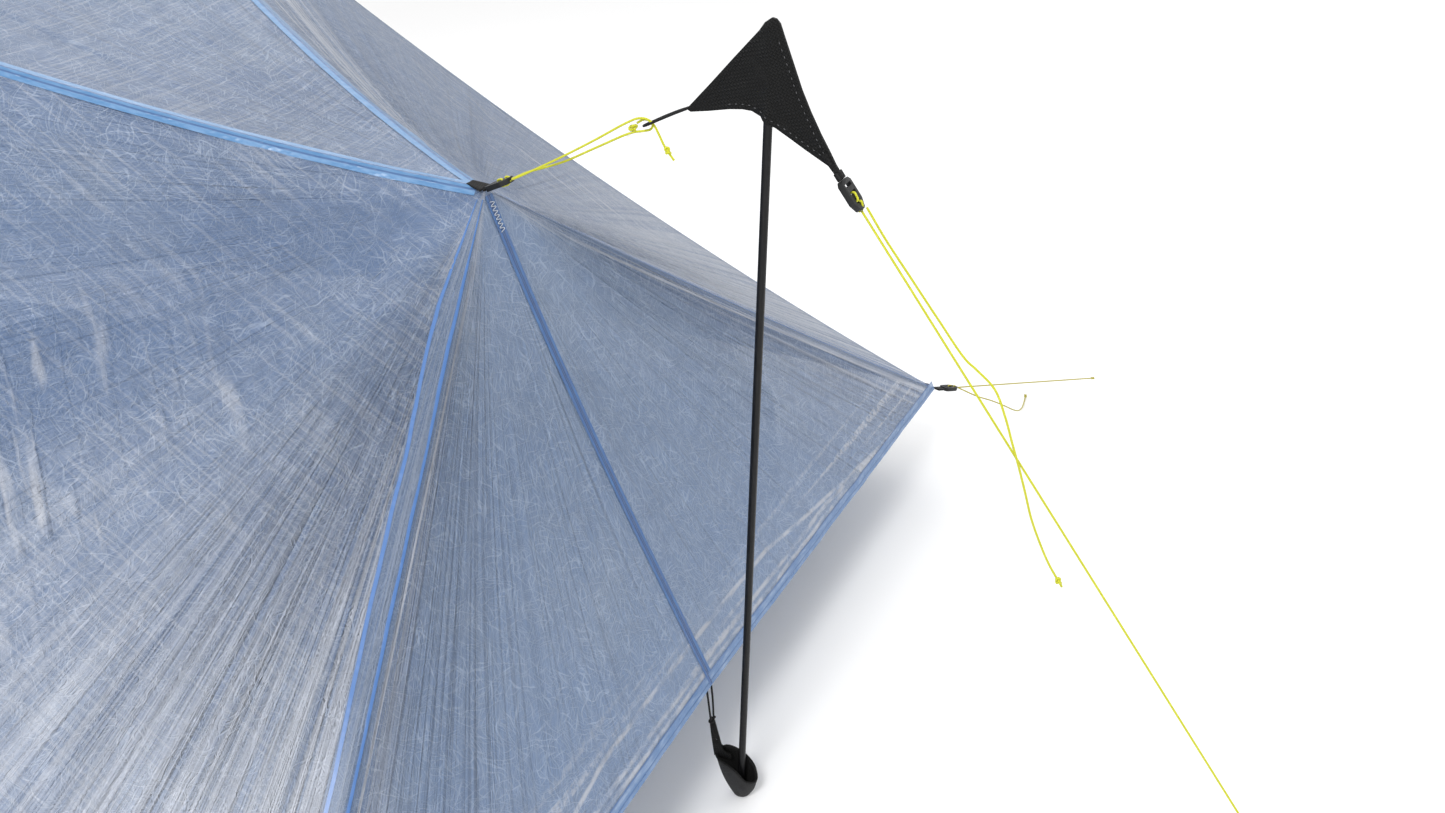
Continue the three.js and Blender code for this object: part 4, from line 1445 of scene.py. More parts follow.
@dataclass
class Inner:
    """The bathtub floor and the netting that hangs inside the canopy."""

    half_x: float = 1.130
    half_y: float = 0.570
    wall: float = 0.180
    skin: float = 0.0012
    net_peak: tuple = (0.476, 1.135)
    net_end: tuple = (1.118, 0.640)
    net_base: float = 0.1824
    net_x: float = 1.129
    net_y: float = 0.569
    end_y: float = 0.565
    upright_radius: float = 0.012
    rim_radius: float = 0.006
    wall_band: float = 0.02
    cut_heights: tuple[float, float] = (0.05, 0.11)
    cuts: tuple[int, int] = (24, 14)

    def build(self) -> None:
        """Makes the floor, the netting panels and the netting doors."""
        self.floor()
        for end, sx in ENDS.items():
            panel = Panel((sx * self.net_end[0], 0, self.net_end[1]),
                          (sx * self.net_x, self.end_y, self.net_base),
                          (sx * self.net_x, -self.end_y, self.net_base), dish=0.004,
                          offset=(sx * 2, 0))
            net = Cloth.sheet(f"end_netting_{end}", [panel], 23, Finish.NETTING, "shelter",
                              "netting")
            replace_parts(net, f"netting_end_{end}")
        for side, sy in SIDES.items():
            peak = (0.0, sy * self.net_peak[0], self.net_peak[1])
            foot = (0.0, sy * self.net_y, self.net_base)
            for kind, sx in (("side", -sy), ("door", sy)):
                panel = Panel(foot, (sx * self.net_x, sy * self.net_y, self.net_base), peak,
                              offset=(sx * 3.0, sy * 5.0))
                body = "shelter" if kind == "side" else f"netting_door_{side}"
                name = f"{kind}_netting_{side}"
                net = Cloth.sheet(name, [panel], 31, Finish.NETTING, body, "netting")
                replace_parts(net, f"netting_{kind}_{side}")
                Cloth.tape(f"{kind}_netting_zip_{side}", foot, peak, [(panel, 0.012)],
                           Finish.ZIP, body, "netting", steps=40, lift=0.0009)

    def floor(self) -> None:
        """Makes the bathtub floor: a shallow tub with soft corners and slack wall tops."""
        bm = bmesh.new()
        bmesh.ops.create_cube(bm, size=1.0)
        bmesh.ops.scale(bm, vec=(2 * self.half_x, 2 * self.half_y, self.wall), verts=bm.verts)
        bmesh.ops.translate(bm, vec=(0, 0, self.wall / 2), verts=bm.verts)
        top = [face for face in bm.faces if face.normal.z > 0.9]
        bmesh.ops.delete(bm, geom=top, context="FACES")
        upright = [edge for edge in bm.edges
                   if abs(edge.verts[0].co.z - edge.verts[1].co.z) > 0.1]
        bmesh.ops.bevel(bm, geom=upright, offset=self.upright_radius, segments=4, profile=0.5,
                        affect="EDGES", material=-1)
        rim = [edge for edge in bm.edges
               if max(v.co.z for v in edge.verts) < 0.001 and len(edge.link_faces) == 2
               and abs(edge.link_faces[0].normal.z) + abs(edge.link_faces[1].normal.z) < 1.5]
        bmesh.ops.bevel(bm, geom=rim, offset=self.rim_radius, segments=3, profile=0.5,
                        affect="EDGES", material=-1)
        for size, count, normal in ((self.half_x, self.cuts[0], Vector((1, 0, 0))),
                                    (self.half_y, self.cuts[1], Vector((0, 1, 0)))):
            for share in np.linspace(-0.92, 0.92, count):
                cut(bm, normal * (share * size), normal)
        for height in self.cut_heights:
            cut(bm, (0, 0, height), (0, 0, 1))
        for vert in bm.verts:
            x, y, z = vert.co
            rise = z / self.wall
            slack = 0.0
            if abs(abs(x) - self.half_x) < self.wall_band:
                slack = math.cos(y / self.half_y * math.pi / 2)
                vert.co.x -= math.copysign(0.008 * rise * slack, x)
            elif abs(abs(y) - self.half_y) < self.wall_band:
                slack = abs(math.cos(x / self.half_x * math.pi / 2))
                vert.co.y -= math.copysign(0.006 * rise * slack, y)
            vert.co.z -= 0.010 * rise * slack * (1 if rise > 0.9 else 0)
        bmesh.ops.recalc_face_normals(bm, faces=bm.faces[:])
        tub = piece("floor_tub", bm, Finish.TUB, "shelter")
        spots = np.array([vert.co for vert in tub.data.vertices])[face_corners(tub)]
        x, y, z = spots.T
        store_uv(tub, "cloth", x + z * (abs(x) > self.half_x - self.wall_band),
                 y + z * (abs(y) > self.half_y - self.wall_band))
        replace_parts(tub, "floor_tray")


@dataclass
class Hardware:
    """Webbing loops, cord tensioners, zip sliders, poles and their feet."""

    sewn_to: dict[str, str] = field(default_factory=lambda: {
        f"vestibule_webbing_{side}": f"storm_door_px_{side}" for side in SIDES})
    softened: tuple = (
        ("tensioner", 0.0007, Finish.TENSIONER, "tensioner"),
        ("slider", 0.0005, Finish.ZIP_METAL, "zip_metal"),
        ("webbing", 0.0006, Finish.WEBBING, "webbing"))
    dressed: tuple = (
        ("pole_lower", Finish.CARBON), ("pole_upper", Finish.CARBON),
        ("strut_tube", Finish.CARBON), ("pole_foot", Finish.RUBBER), ("_tip", Finish.TIP))

    def build(self) -> None:
        """Dresses the hard pieces, softening their moulded edges."""
        for name in sorted(BODY_OF):
            for word, width, finish, slot in self.softened:
                if word in name:
                    self.soften(name, width, finish, self.sewn_to.get(name, BODY_OF[name]))
            for word, finish in self.dressed:
                if word in name:
                    self.dress(name, finish)

    def dress(self, node: str, finish: Finish) -> None:
        """Gives a CAD node a better material."""
        for slot in bpy.data.objects[node].material_slots:
            slot.material = WARDROBE.get(finish)
        log.info("%s dressed as %s", node, finish.name)

    def soften(self, node: str, width: float, finish: Finish, body: str) -> None:
        """Makes a copy of a CAD node with rounded edges, in its place.

        Args:
            node: the CAD node.
            width: how wide its edges are rounded.
            finish: what the copy is dressed in.
            body: the body it moves with.
        """
        bm = bmesh.new()
        bm.from_mesh(bpy.data.objects[node].data)
        bmesh.ops.remove_doubles(bm, verts=bm.verts[:], dist=1e-6)
        bmesh.ops.dissolve_limit(bm, angle_limit=0.02, verts=bm.verts[:], edges=bm.edges[:])
        sharp = [edge for edge in bm.edges if edge.is_manifold
                 and edge.calc_face_angle(0.0) > 0.5]
        bmesh.ops.bevel(bm, geom=sharp, offset=width, segments=2, profile=0.5,
                        affect="EDGES", clamp_overlap=True, material=-1)
        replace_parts(piece(node + "_soft", bm, finish, body), node)


@dataclass(frozen=True)
class Line:
    """One cord: its centre line in metres, and how it is made, held and ended."""

    name: str
    node: str
    points: tuple[Point, ...]
    finish: Finish
    body: str | None
    slot: str
    steps: int
    far_end: str
    lay: str


@dataclass
class Cords:
    """The tie-out cord, the guy line, the corner cord, and their loose tails and knots."""

    radius: float = 0.001
    loop_radius: float = 0.0011
    knot: float = 0.0074
    tip_radius: float = 0.00115
    tie_mouth: Point = (1.1832, 0.0, 0.6894)
    guy_start: Point = (1.5173, 0.0, 0.6779)
    guy_end: Point = (1.841, 0.0, 0.124)
    corner_start: Point = (1.341, 0.737, 0.1255)
    corner_end: Point = (1.478, 1.025, 0.014)

    def lines(self) -> list[Line]:
        """Returns the five cords."""
        mx, _, mz = self.tie_mouth
        loop = [(0.016, 0.0036), (0.008, 0.0043), (0.0034, 0.003), (0.0018, 0.0),
                (0.0034, -0.003), (0.008, -0.0043), (0.016, -0.0036)]
        tie = [(1.322, 0.0018, 0.7436), (1.329, 0.0018, 0.7466), (1.3346, 0.0018, 0.7456),
               (1.3366, 0.0018, 0.742), (1.334, 0.0018, 0.7384), (1.328, 0.0018, 0.737),
               (1.315, 0.0018, 0.735), (1.28, 0.002, 0.722), (1.24, 0.0028, 0.7066)]
        tie += [(mx + far, side, mz + 0.37 * far) for far, side in loop]
        tie += [(1.24, -0.0028, 0.7116), (1.28, -0.002, 0.729), (1.315, -0.0018, 0.745),
                (1.326, -0.0018, 0.7486), (1.334, -0.0018, 0.748), (1.34, -0.0018, 0.743),
                (1.3436, -0.0018, 0.735), (1.347, -0.0018, 0.726), (1.351, -0.0018, 0.719),
                (1.355, -0.0018, 0.713)]
        gx, _, gz = self.guy_start
        tail = [(gx + 0.003, 0.0042, gz + 0.0014), (1.534, 0.0042, 0.654),
                (1.551, 0.004, 0.6266), (1.575, 0.004, 0.588), (1.597, 0.004, 0.554),
                (1.606, 0.0036, 0.546), (1.621, 0.002, 0.531), (1.63, -0.0006, 0.508),
                (1.636, -0.0028, 0.486), (1.6414, -0.0032, 0.464), (1.6465, -0.0032, 0.44),
                (1.651, -0.003, 0.417), (1.658, -0.003, 0.394), (1.666, -0.003, 0.373),
                (1.677, -0.003, 0.352)]
        cx, cy, cz = self.corner_start
        short = [(cx + 0.0046, cy - 0.0014, cz + 0.0006), (1.366, 0.754, 0.106),
                 (1.378, 0.79, 0.081), (1.386, 0.826, 0.055), (1.39, 0.858, 0.032),
                 (1.391, 0.886, 0.015), (1.39, 0.912, 0.006), (1.387, 0.936, 0.003),
                 (1.383, 0.962, 0.003)]
        guy = self.straight(self.guy_start, self.guy_end)
        corner = self.straight(self.corner_start, self.corner_end)
        return [
            Line("tie_cord", "tie_out_cord", tuple(tie), Finish.LIME, None, "lime_cord", 260,
                 "knot", "taut"),
            Line("guy_cord", "guy_line", guy, Finish.LIME, None, "lime_cord", 120, "knot",
                 "taut"),
            Line("guy_cord_tail", "guy_tail", tuple(tail), Finish.LIME, "strut", "lime_cord",
                 160, "knot", "hanging"),
            Line("corner_line", "corner_cord", corner, Finish.PALE, "shelter", "lime_cord", 80,
                 "knot", "taut"),
            Line("corner_line_tail", "corner_cord_tail", tuple(short), Finish.PALE, "shelter",
                 "lime_cord", 100, "knot", "loose"),
        ]

    @staticmethod
    def straight(start: Point, stop: Point, count: int = 15) -> tuple[Point, ...]:
        """Returns evenly spaced points of a taut stretch."""
        return tuple(tuple(row) for row in np.linspace(start, stop, count))

    def build(self) -> None:
        """Makes every cord with its knots, tips and the wraps that hold it."""
        extras = {
            "tie_cord": [self.tie_knot("tie_knot", (1.3175, 0.0018, 0.7392), (1, 0, 0.35),
                                       Finish.LIME, "strut", 1.2),
                         self.tip("tie_tip", (1.3155, 0.0022, 0.7365), (1.3105, 0.0024, 0.7315),
                                  "strut"),
                         self.tie_knot("tie_stop_knot", (1.3496, -0.0018, 0.7216),
                                       (0.5, 0, -0.86), Finish.LIME, "strut"),
                         self.tip("tie_end_tip", (1.3546, -0.0018, 0.7135),
                                  (1.3568, -0.0018, 0.7104), "strut"),
                         self.wrap("tie_wrap", self.tie_mouth, (27, 0, 9), "shelter",
                                   Finish.LIME, 0.0036)],
            "guy_cord": [self.tie_knot("guy_end_knot", (1.8395, 0, 0.1266), (0.5, 0, -0.86),
                                       Finish.LIME, "shelter"),
                         self.wrap("guy_wrap", self.guy_start, (0.5045, 0, -0.8634), "strut",
                                   Finish.LIME, 0.0030)],
            "guy_cord_tail": [self.tie_knot("guy_tail_knot", (1.6739, -0.003, 0.3578),
                                            (0.45, 0, -0.89), Finish.LIME, "strut"),
                              self.tip("guy_tail_tip", (1.6768, -0.003, 0.3524),
                                       (1.6781, -0.003, 0.3498), "strut")],
            "corner_line": [self.tie_knot("corner_end_knot", (1.4766, 1.022, 0.0152),
                                          (0.4, 0.85, -0.33), Finish.PALE, "shelter", 0.85),
                            self.wrap("corner_wrap", self.corner_start,
                                      (0.4054, 0.8524, -0.33), "shelter", Finish.PALE, 0.0026)],
            "corner_line_tail": [self.tie_knot("corner_tail_knot", (1.3838, 0.957, 0.0042),
                                               (-0.1, 1, 0), Finish.PALE, "shelter", 0.85)],
        }
        blends = {
            "tie_cord": ("shelter", "strut", (1.184, 0.0, 0.69), (1.312, 0.0, 0.737)),
            "guy_cord": ("strut", "shelter", self.guy_start, self.guy_end),
        }
        for line in self.lines():
            path = smooth_path(line.points, line.steps)
            made = cord_piece(line.name, path, self.radius, line.finish, line.body)
            if line.name in blends:
                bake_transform(made)
            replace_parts(made, line.node)
        self.loops()

    def tie_knot(self, name: str, place: Point, along: Sequence[float], finish: Finish,
                 body: str, scale: float = 1.0) -> bpy.types.Object:
        """Ties an overhand knot on a cord.

        Args:
            name: the knot's name.
            place: its middle.
            along: the direction of the cord through it.
            finish: the cord's finish.
            body: the body it rides on.
            scale: its size against the usual knot.

        Returns:
            The knot.
        """
        reach = (self.knot / 2 - self.radius) / 3 * scale
        t = np.linspace(0.1, 2 * np.pi + 0.1, 73)[:-1]
        local = np.stack([(np.sin(t) + 2 * np.sin(2 * t)) * 1.15,
                          (np.cos(t) - 2 * np.cos(2 * t)) * 0.85, -1.35 * np.sin(3 * t)], axis=1)
        ahead = unit(along)
        side = unit(np.cross(ahead, (0.3, 1.0, 0.2)))
        up = np.cross(ahead, side)
        path = np.array(place) + reach * (local @ np.stack([ahead, side, up]))
        path = np.vstack([path, path[:1]])
        return cord_piece(name, path, self.radius * 1.04, finish, body, sides=10)

    def tip(self, name: str, start: Point, stop: Point, body: str) -> bpy.types.Object:
        """Makes a cord's pale melted end, slightly fuller than the cord.

        Args:
            name: the tip's name.
            start: where the cord meets it.
            stop: its end.
            body: the body it rides on.

        Returns:
            The tip.
        """
        path = np.linspace(start, stop, 9)
        profile = lambda share: self.tip_radius * (1 - 0.55 * max(0.0, share - 0.7) / 0.3)
        return cord_piece(name, path, profile, Finish.WHITE_TIP, body)

    def wrap(self, name: str, mouth: Point, pull: Sequence[float], body: str, finish: Finish,
             side: float) -> bpy.types.Object:
        """Winds a cord through a tensioner's two cord slots.

        Args:
            name: the wrap's name.
            mouth: where the cord leaves the tensioner.
            pull: the direction it leaves in.
            body: the body it rides on.
            finish: the cord's finish.
            side: how far apart the two runs lie, in metres.

        Returns:
            The wrap.
        """
        ahead = unit(pull)
        level = abs(ahead[1]) < 0.7
        across = unit(np.cross(ahead, (0, 1, 0) if level else (0, 0, 1)))
        other = np.cross(ahead, across)
        flat, wide = (across, other) if level else (other, across)
        half = side / 2
        rows = ((0.0, -half, 0.0), (-3.5, -half, 2.6), (-6.5, -half, 3.5), (-8.0, -half, 0.4),
                (-9.4, -half, -3.1), (-12.5, -half, -3.5), (-15.4, -half, -3.0),
                (-16.3, -half * 0.6, 0.0), (-15.2, 0.0, 3.2), (-12.2, half * 0.5, 3.6),
                (-9.2, half * 0.8, 3.1), (-8.1, half, -0.4), (-6.4, half, -3.2),
                (-3.2, half, -2.6), (0.0, half, -0.4))
        points = [np.array(mouth) + ahead * run * 0.001 + wide * wander + flat * lift * 0.001
                  for run, wander, lift in rows]
        return cord_piece(name, smooth_path(points, 110), self.radius * 0.95, finish, body)

    def loops(self) -> None:
        """Makes the black loop on the cap and the black tether that holds the cup."""
        cap = [(1.3726, -0.002, 0.7574), (1.362, -0.004, 0.754), (1.348, -0.0054, 0.749),
               (1.336, -0.0048, 0.7444), (1.3306, -0.0026, 0.7425), (1.3294, 0, 0.7421),
               (1.3306, 0.0026, 0.7425), (1.336, 0.0048, 0.7444), (1.348, 0.0054, 0.749),
               (1.362, 0.004, 0.754), (1.3726, 0.002, 0.7574)]
        tether = [(1.31, -0.005, 0.143), (1.3094, -0.0046, 0.124), (1.3084, -0.0036, 0.106),
                  (1.3078, -0.0022, 0.0975), (1.3076, 0, 0.0955), (1.3078, 0.0022, 0.0975),
                  (1.3084, 0.0036, 0.106), (1.3094, 0.0046, 0.124), (1.31, 0.005, 0.143)]
        for name, node, points, body in (
                ("cap_cord_loop", "cap_loop", cap, "strut"),
                ("cup_cord_loop", "cup_tether", tether, "shelter")):
            made = cord_piece(name, smooth_path(points, 90), self.loop_radius,
                              Finish.BLACK_CORD, body)
            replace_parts(made, node)
        self.tie_knot("cup_hitch", (1.3076, 0, 0.0985), (0, 1, 0.05), Finish.BLACK_CORD,
                      "shelter", 1.45)


@dataclass
class Cap:
    """The black fabric cap: two sewn plies drawn over the strut's head, with bound edges."""

    edge: float = 0.0010
    hem: float = 0.0050
    hem_rise: float = 0.0007
    sleeve: float = 0.0050
    drape: float = 0.013
    stitch_inset: float = 0.0042
    stitch_radius: float = 0.00036
    cut_step: float = 0.0024
    strut_foot: Point = (1.3305, 0, 0.006)
    strut_head: Point = (1.454, 0, 0.817)
    outline: tuple[tuple[float, float], ...] = (
        (1.4555, 0.8285), (1.4500, 0.8255), (1.4445, 0.8195), (1.4200, 0.7985),
        (1.3960, 0.7775), (1.3745, 0.7592), (1.3730, 0.7568), (1.3760, 0.7550),
        (1.3930, 0.7560), (1.4110, 0.7577), (1.4230, 0.7578), (1.4310, 0.7566),
        (1.4380, 0.7525), (1.4430, 0.7480), (1.4530, 0.7412), (1.4620, 0.7350),
        (1.4735, 0.7268), (1.4850, 0.7190), (1.4925, 0.7140), (1.4960, 0.7122),
        (1.4988, 0.7136), (1.4940, 0.7250), (1.4880, 0.7380), (1.4808, 0.7560),
        (1.4750, 0.7730), (1.4690, 0.7960), (1.4640, 0.8150), (1.4618, 0.8238),
        (1.4590, 0.8275))

    def build(self) -> None:
        """Makes the cap, its bound edges and its stitching."""
        bm = bmesh.new()
        ring = [bm.verts.new((x, 0, z)) for x, z in self.outline]
        bm.faces.new(ring)
        for values, normal in zip(zip(*self.outline), ((1, 0, 0), (0, 0, 1))):
            for place in np.arange(min(values) + 0.002, max(values), self.cut_step):
                cut(bm, place * np.array(normal), normal)
        bmesh.ops.triangulate(bm, faces=bm.faces[:])
        bmesh.ops.solidify(bm, geom=bm.faces[:], thickness=0.001)
        middle = sum(vert.co.y for vert in bm.verts) / len(bm.verts)
        for vert in bm.verts:
            side = 1 if vert.co.y > middle else -1
            vert.co.y = side * self.height(vert.co.x, vert.co.z, side)
        bmesh.ops.recalc_face_normals(bm, faces=bm.faces[:])
        cap = piece("cap_cloth", bm, Finish.CAP, "strut")
        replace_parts(cap, "cap_fabric")
        self.stitching()
        self.tab()

    def tab(self) -> None:
        """Gathers the cap's right corner into the strap that holds the tensioner."""
        path = smooth_path([(1.4900, 0, 0.7240), (1.4945, 0, 0.7160), (1.4985, 0, 0.7095),
                            (1.5020, 0, 0.7035)], 24)
        bm, _, _ = sweep(path, lambda share: 0.0030 - 0.0009 * share, 16)
        bmesh.ops.scale(bm, vec=(1, 1.75, 1), verts=bm.verts[:])
        piece("cap_tab", bm, Finish.CAP, "strut")

    def distance(self, x: float, z: float) -> tuple[float, float]:
        """Measures how far inside the cap a point lies.

        Args:
            x: its x.
            z: its z.

        Returns:
            Distances to the outline and to the strut's axis.
        """
        loop = np.array(self.outline)
        after = np.roll(loop, -1, axis=0)
        run = after - loop
        spot = np.array([x, z])
        share = np.clip(((spot - loop) * run).sum(1) / (run * run).sum(1), 0, 1)
        near = float(np.linalg.norm(loop + run * share[:, None] - spot, axis=1).min())
        foot = np.array([self.strut_foot[0], self.strut_foot[2]])
        axis = unit(np.array([self.strut_head[0], self.strut_head[2]]) - foot)
        gap = (spot - foot) @ np.array([axis[1], -axis[0]])
        return near, float(gap)

    def height(self, x: float, z: float, side: int) -> float:
        """Works out how far one ply stands off the cap's middle.

        Args:
            x: the point's x.
            z: its z.
            side: 1 or -1 for the ply.

        Returns:
            Half the cap's thickness there.
        """
        near, gap = self.distance(x, z)
        inside = min(1.0, near / 0.007)
        tube = math.sqrt(max(self.sleeve ** 2 - gap ** 2, 0.0))
        drape = 0.0032 * math.exp(-(gap / self.drape) ** 2) * inside
        tube *= 1.0 if z < 0.760 else min(1.0, near / 0.004)
        if gap > 0:
            fan = math.atan2(z - 0.709, 1.500 - x)
            folds = 0.0007 * math.sin(fan * 16 + side) * inside * min(1.0, gap / 0.01)
        else:
            folds = 0.0004 * math.sin((x * 0.8 - z) * 330 + side) * inside
        rise = self.hem_rise if near < self.hem else 0.0
        if self.hem < near < self.hem + 0.0012:
            rise = -0.0002
        return max(self.edge, self.edge + drape + folds, tube) + rise

    def stitching(self) -> None:
        """Sews a row of stitches inside the cap's right and lower edges, on both plies."""
        loop = np.array([(x, 0, z) for x, z in self.outline])
        middle = np.array([1.445, 0, 0.775])
        shrunk = []
        for index in range(len(loop)):
            before, after = loop[index - 1], loop[(index + 1) % len(loop)]
            run = unit(after - before)
            inward = np.array([run[2], 0, -run[0]])
            if inward @ (middle - loop[index]) < 0:
                inward = -inward
            shrunk.append(loop[index] + inward * self.stitch_inset)
        for key, side in reversed(SIDES.items()):
            for number, part in enumerate((shrunk[9:19], shrunk[21:27])):
                line = smooth_path(part, 34)
                bm = bmesh.new()
                for start, stop in zip(line[::2], line[1::2]):
                    run = stop - start
                    spots = [start + run * share for share in (0.08, 0.92)]
                    ends = [Vector((s[0], side * (self.height(s[0], s[2], side) + 0.0001), s[2]))
                            for s in spots]
                    self.stitch(bm, *ends)
                piece(f"cap_stitches_{key}_{number}", bm, Finish.THREAD, "strut")

    def stitch(self, bm: bmesh.types.BMesh, start: Vector, stop: Vector) -> None:
        """Adds one stitch, a short pointed thread.

        Args:
            bm: the row of stitches.
            start: one end.
            stop: the other end.
        """
        run = stop - start
        turn = run.to_track_quat("Z", "Y").to_matrix().to_4x4()
        size = Matrix.Diagonal((self.stitch_radius, self.stitch_radius, run.length / 2, 1))
        bmesh.ops.create_icosphere(bm, subdivisions=1, radius=1.0,
                                   matrix=Matrix.Translation((start + stop) / 2) @ turn @ size)


@dataclass
class Cup:
    """The soft pocket that holds the strut's foot, hung by its neck from the hem."""

    cloth: float = 0.0013
    rings: int = 9
    segments: int = 36
    rim: tuple[Point, ...] = (
        (1.3065, 0.0, 0.0500), (1.3125, -0.0070, 0.0500), (1.3250, -0.0105, 0.0480),
        (1.3345, -0.0115, 0.0430), (1.3445, -0.0090, 0.0290), (1.3520, -0.0010, 0.0262),
        (1.3490, 0.0060, 0.0370), (1.3410, 0.0095, 0.0460), (1.3270, 0.0115, 0.0530),
        (1.3140, 0.0080, 0.0570))
    neck: tuple[tuple[float, float], ...] = (
        (1.3042, 0.0480), (1.3040, 0.0620), (1.3041, 0.0800), (1.3048, 0.0985),
        (1.3062, 0.1000), (1.3098, 0.1002), (1.3106, 0.0980), (1.3120, 0.0860),
        (1.3145, 0.0650), (1.3175, 0.0585), (1.3240, 0.0545), (1.3240, 0.0480))
    hole: tuple[float, float] = (1.3095, 0.0710)
    hole_radius: float = 0.0013
    middle: Point = (1.3305, 0.0, 0.030)
    rim_middle: float = 1.329
    rim_radii: tuple[float, float] = (0.0235, 0.0115)
    foot_radii: tuple[float, float] = (0.0085, 0.0058)
    foot_height: float = 0.0012
    belly: float = 0.30

    def build(self) -> None:
        """Makes the pocket, its rolled rim and its neck."""
        rim = self.loop()
        low = self.floor_loop()
        bm = bmesh.new()
        ring = bmesh.ops.create_circle(bm, segments=self.segments, radius=1.0,
                                       cap_ends=True)["verts"]
        edges = bm.edges[:]
        for vert, spot in zip(ring, low):
            vert.co = spot
        order = {vert: index for index, vert in enumerate(ring)}
        for step in range(1, self.rings + 1):
            fresh, edges = pull(bm, edges)
            order = {vert: next(order[edge.other_vert(vert)] for edge in vert.link_edges
                                if edge.other_vert(vert) in order) for vert in fresh}
            for vert, index in order.items():
                vert.co = self.wall(low[index], rim[index], step / self.rings)
        bmesh.ops.recalc_face_normals(bm, faces=bm.faces[:])
        if bm.faces[:][0].normal.z > 0:
            bmesh.ops.reverse_faces(bm, faces=bm.faces[:])
        bmesh.ops.solidify(bm, geom=bm.faces[:], thickness=self.cloth)
        bmesh.ops.recalc_face_normals(bm, faces=bm.faces[:])
        # Painted shade: the inward-facing faces take the black cap weave, standing for the shade
        # inside the pocket.
        for face in bm.faces:
            toward = Vector(self.middle) - face.calc_center_median()
            face.material_index = 1 if face.normal @ toward > 0 else 0
        cup = piece("cup_pocket", bm, Finish.CUP, "shelter")
        cup.data.materials.append(WARDROBE.get(Finish.CAP))
        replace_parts(cup, "strut_cup")
        closed = np.array(rim + rim[:1])
        tube, _, _ = sweep(closed, 0.0010, 8)
        piece("cup_rim", tube, Finish.CAP, "shelter")
        self.make_neck()

    def loop(self) -> list[np.ndarray]:
        """Spaces points round the rim.

        Returns:
            One point for each segment.
        """
        closed = self.rim[-2:] + self.rim + self.rim[:2]
        dense = smooth_path(closed, 900)
        start = int(np.argmin(np.linalg.norm(dense[:450] - self.rim[0], axis=1)))
        stop = 450 + int(np.argmin(np.linalg.norm(dense[450:] - self.rim[0], axis=1)))
        picks = np.linspace(start, stop, self.segments + 1)[:-1]
        return [dense[int(round(pick))] for pick in picks]

    def floor_loop(self) -> list[np.ndarray]:
        """Lays out the narrow closed foot of the pocket.

        Returns:
            One point under each point of the rim.
        """
        spots = []
        for x, y, _ in self.loop():
            turn = math.atan2(y / self.rim_radii[1], (x - self.rim_middle) / self.rim_radii[0])
            spots.append(np.array([self.middle[0] + self.foot_radii[0] * math.cos(turn),
                                   self.foot_radii[1] * math.sin(turn), self.foot_height]))
        return spots

    def wall(self, low: np.ndarray, high: np.ndarray, share: float) -> np.ndarray:
        """Finds a point of the pocket's wall, bellied out between foot and rim.

        Args:
            low: the foot's point.
            high: the rim's point.
            share: how far up the wall.

        Returns:
            The point.
        """
        spot = low + (high - low) * share
        out = np.array([spot[0] - self.middle[0], spot[1], 0])
        belly = self.belly * math.sin(math.pi * share ** 0.8)
        return spot + out * belly * np.array([0.55, 1.1, 0])

    def make_neck(self) -> None:
        """Makes the neck: a stiff tab with an eyelet, sewn behind the pocket's left side."""
        bm = bmesh.new()
        outer = [bm.verts.new((x, -0.0009, z)) for x, z in self.neck]
        edges = [bm.edges.new((vert, outer[(index + 1) % len(outer)]))
                 for index, vert in enumerate(outer)]
        turn = Matrix.Rotation(math.pi / 2, 4, "X")
        eye = bmesh.ops.create_circle(
            bm, segments=12, radius=self.hole_radius,
            matrix=Matrix.Translation((self.hole[0], -0.0009, self.hole[1])) @ turn)["verts"]
        eye_edges = [edge for edge in bm.edges if set(eye).issuperset(edge.verts)]
        bmesh.ops.bridge_loops(bm, edges=edges + eye_edges)
        plate = bmesh.ops.extrude_face_region(bm, geom=bm.faces[:])["geom"]
        back = [item for item in plate if isinstance(item, bmesh.types.BMVert)]
        bmesh.ops.translate(bm, vec=(0, 0.0018, 0), verts=back)
        bmesh.ops.recalc_face_normals(bm, faces=bm.faces[:])
        piece("cup_neck", bm, Finish.CAP, "shelter")


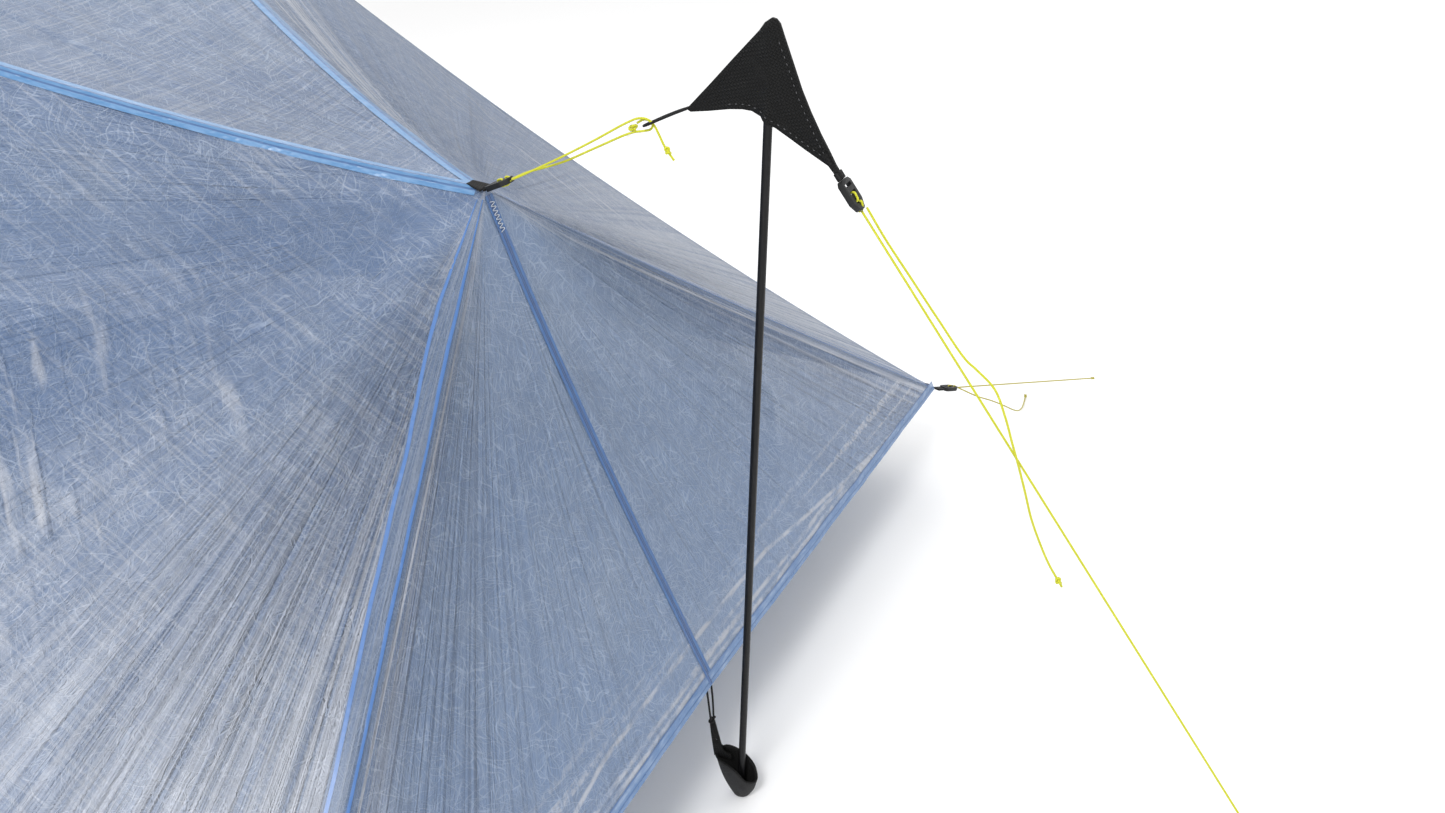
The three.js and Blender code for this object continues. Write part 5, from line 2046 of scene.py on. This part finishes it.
@dataclass
class Studio:
    """The pale floor, the soft lights and the camera."""

    eye: Point = (1.899, -0.9204, 1.035)
    right: Point = (0.889, 0.4435, -0.1136)
    up: Point = (-0.1172, 0.4603, 0.88)
    ahead: Point = (-0.4426, 0.769, -0.4612)
    focal: float = 1322.6
    image_width: float = 1445.0
    sensor: float = 36.0
    lamps: tuple = (
        ("top_box", (0.6, -1.2, 3.6), (0.9, -0.2, 0.4), 2.4, 10.0),
        ("key_box", (1.9, -2.2, 2.9), (1.0, -0.6, 0.4), 0.8, 64.0),
        ("back_box", (-0.3, 2.1, 2.9), (0.8, 0.0, 0.7), 1.8, 22.0),
        ("right_box", (4.2, 2.6, 1.2), (1.2, 0.2, 0.3), 1.6, 6.0))

    def build(self) -> None:
        """Sets the stage."""
        self.camera()
        self.ground()
        self.lights()

    def camera(self) -> None:
        """Places the camera."""
        data = bpy.data.cameras.new("view")
        data.sensor_width = self.sensor
        data.lens = self.sensor * self.focal / self.image_width
        data.clip_start = 0.05
        camera = bpy.data.objects.new("view", data)
        bpy.context.scene.collection.objects.link(camera)
        turn = Matrix((Vector(self.right), Vector(self.up), -Vector(self.ahead))).transposed()
        camera.matrix_world = Matrix.Translation(Vector(self.eye)) @ turn.to_4x4()
        bpy.context.scene.camera = camera

    def ground(self) -> None:
        """Lays the floor."""
        bm = bmesh.new()
        bmesh.ops.create_grid(bm, x_segments=8, y_segments=8, size=30.0)
        bmesh.ops.translate(bm, vec=(0, 0, -0.0005), verts=bm.verts[:])
        mesh = bpy.data.meshes.new("floor")
        bm.to_mesh(mesh)
        bm.free()
        floor = bpy.data.objects.new("studio_floor", mesh)
        mesh.materials.append(WARDROBE.get(Finish.GROUND))
        bpy.context.scene.collection.objects.link(floor)

    def lights(self) -> None:
        """Hangs a bright even sky and soft boxes."""
        scene = bpy.context.scene
        world = bpy.data.worlds.new("studio")
        scene.world = world
        world.use_nodes = True
        sky = world.node_tree.nodes["Background"]
        sky.inputs["Color"].default_value = (1.0, 1.0, 1.0, 1.0)
        sky.inputs["Strength"].default_value = 1.0
        scene.view_settings.view_transform = "Standard"
        scene.view_settings.look = "None"
        for name, place, aim, size, power in self.lamps:
            data = bpy.data.lights.new(name, "AREA")
            data.size = size
            data.energy = power
            lamp = bpy.data.objects.new(name, data)
            scene.collection.objects.link(lamp)
            lamp.location = place
            lamp.rotation_euler = (Vector(aim) - Vector(place)).to_track_quat(
                "-Z", "Y").to_euler()


def main() -> None:
    """Builds the tent piece by piece, then the stage."""
    logging.basicConfig(level=logging.INFO, format="%(message)s")
    for part in (Studio(), Cords(), Canopy(), Inner(), Cap(), Cup(), Hardware()):
        part.build()


if __name__ == "__main__":
    main()
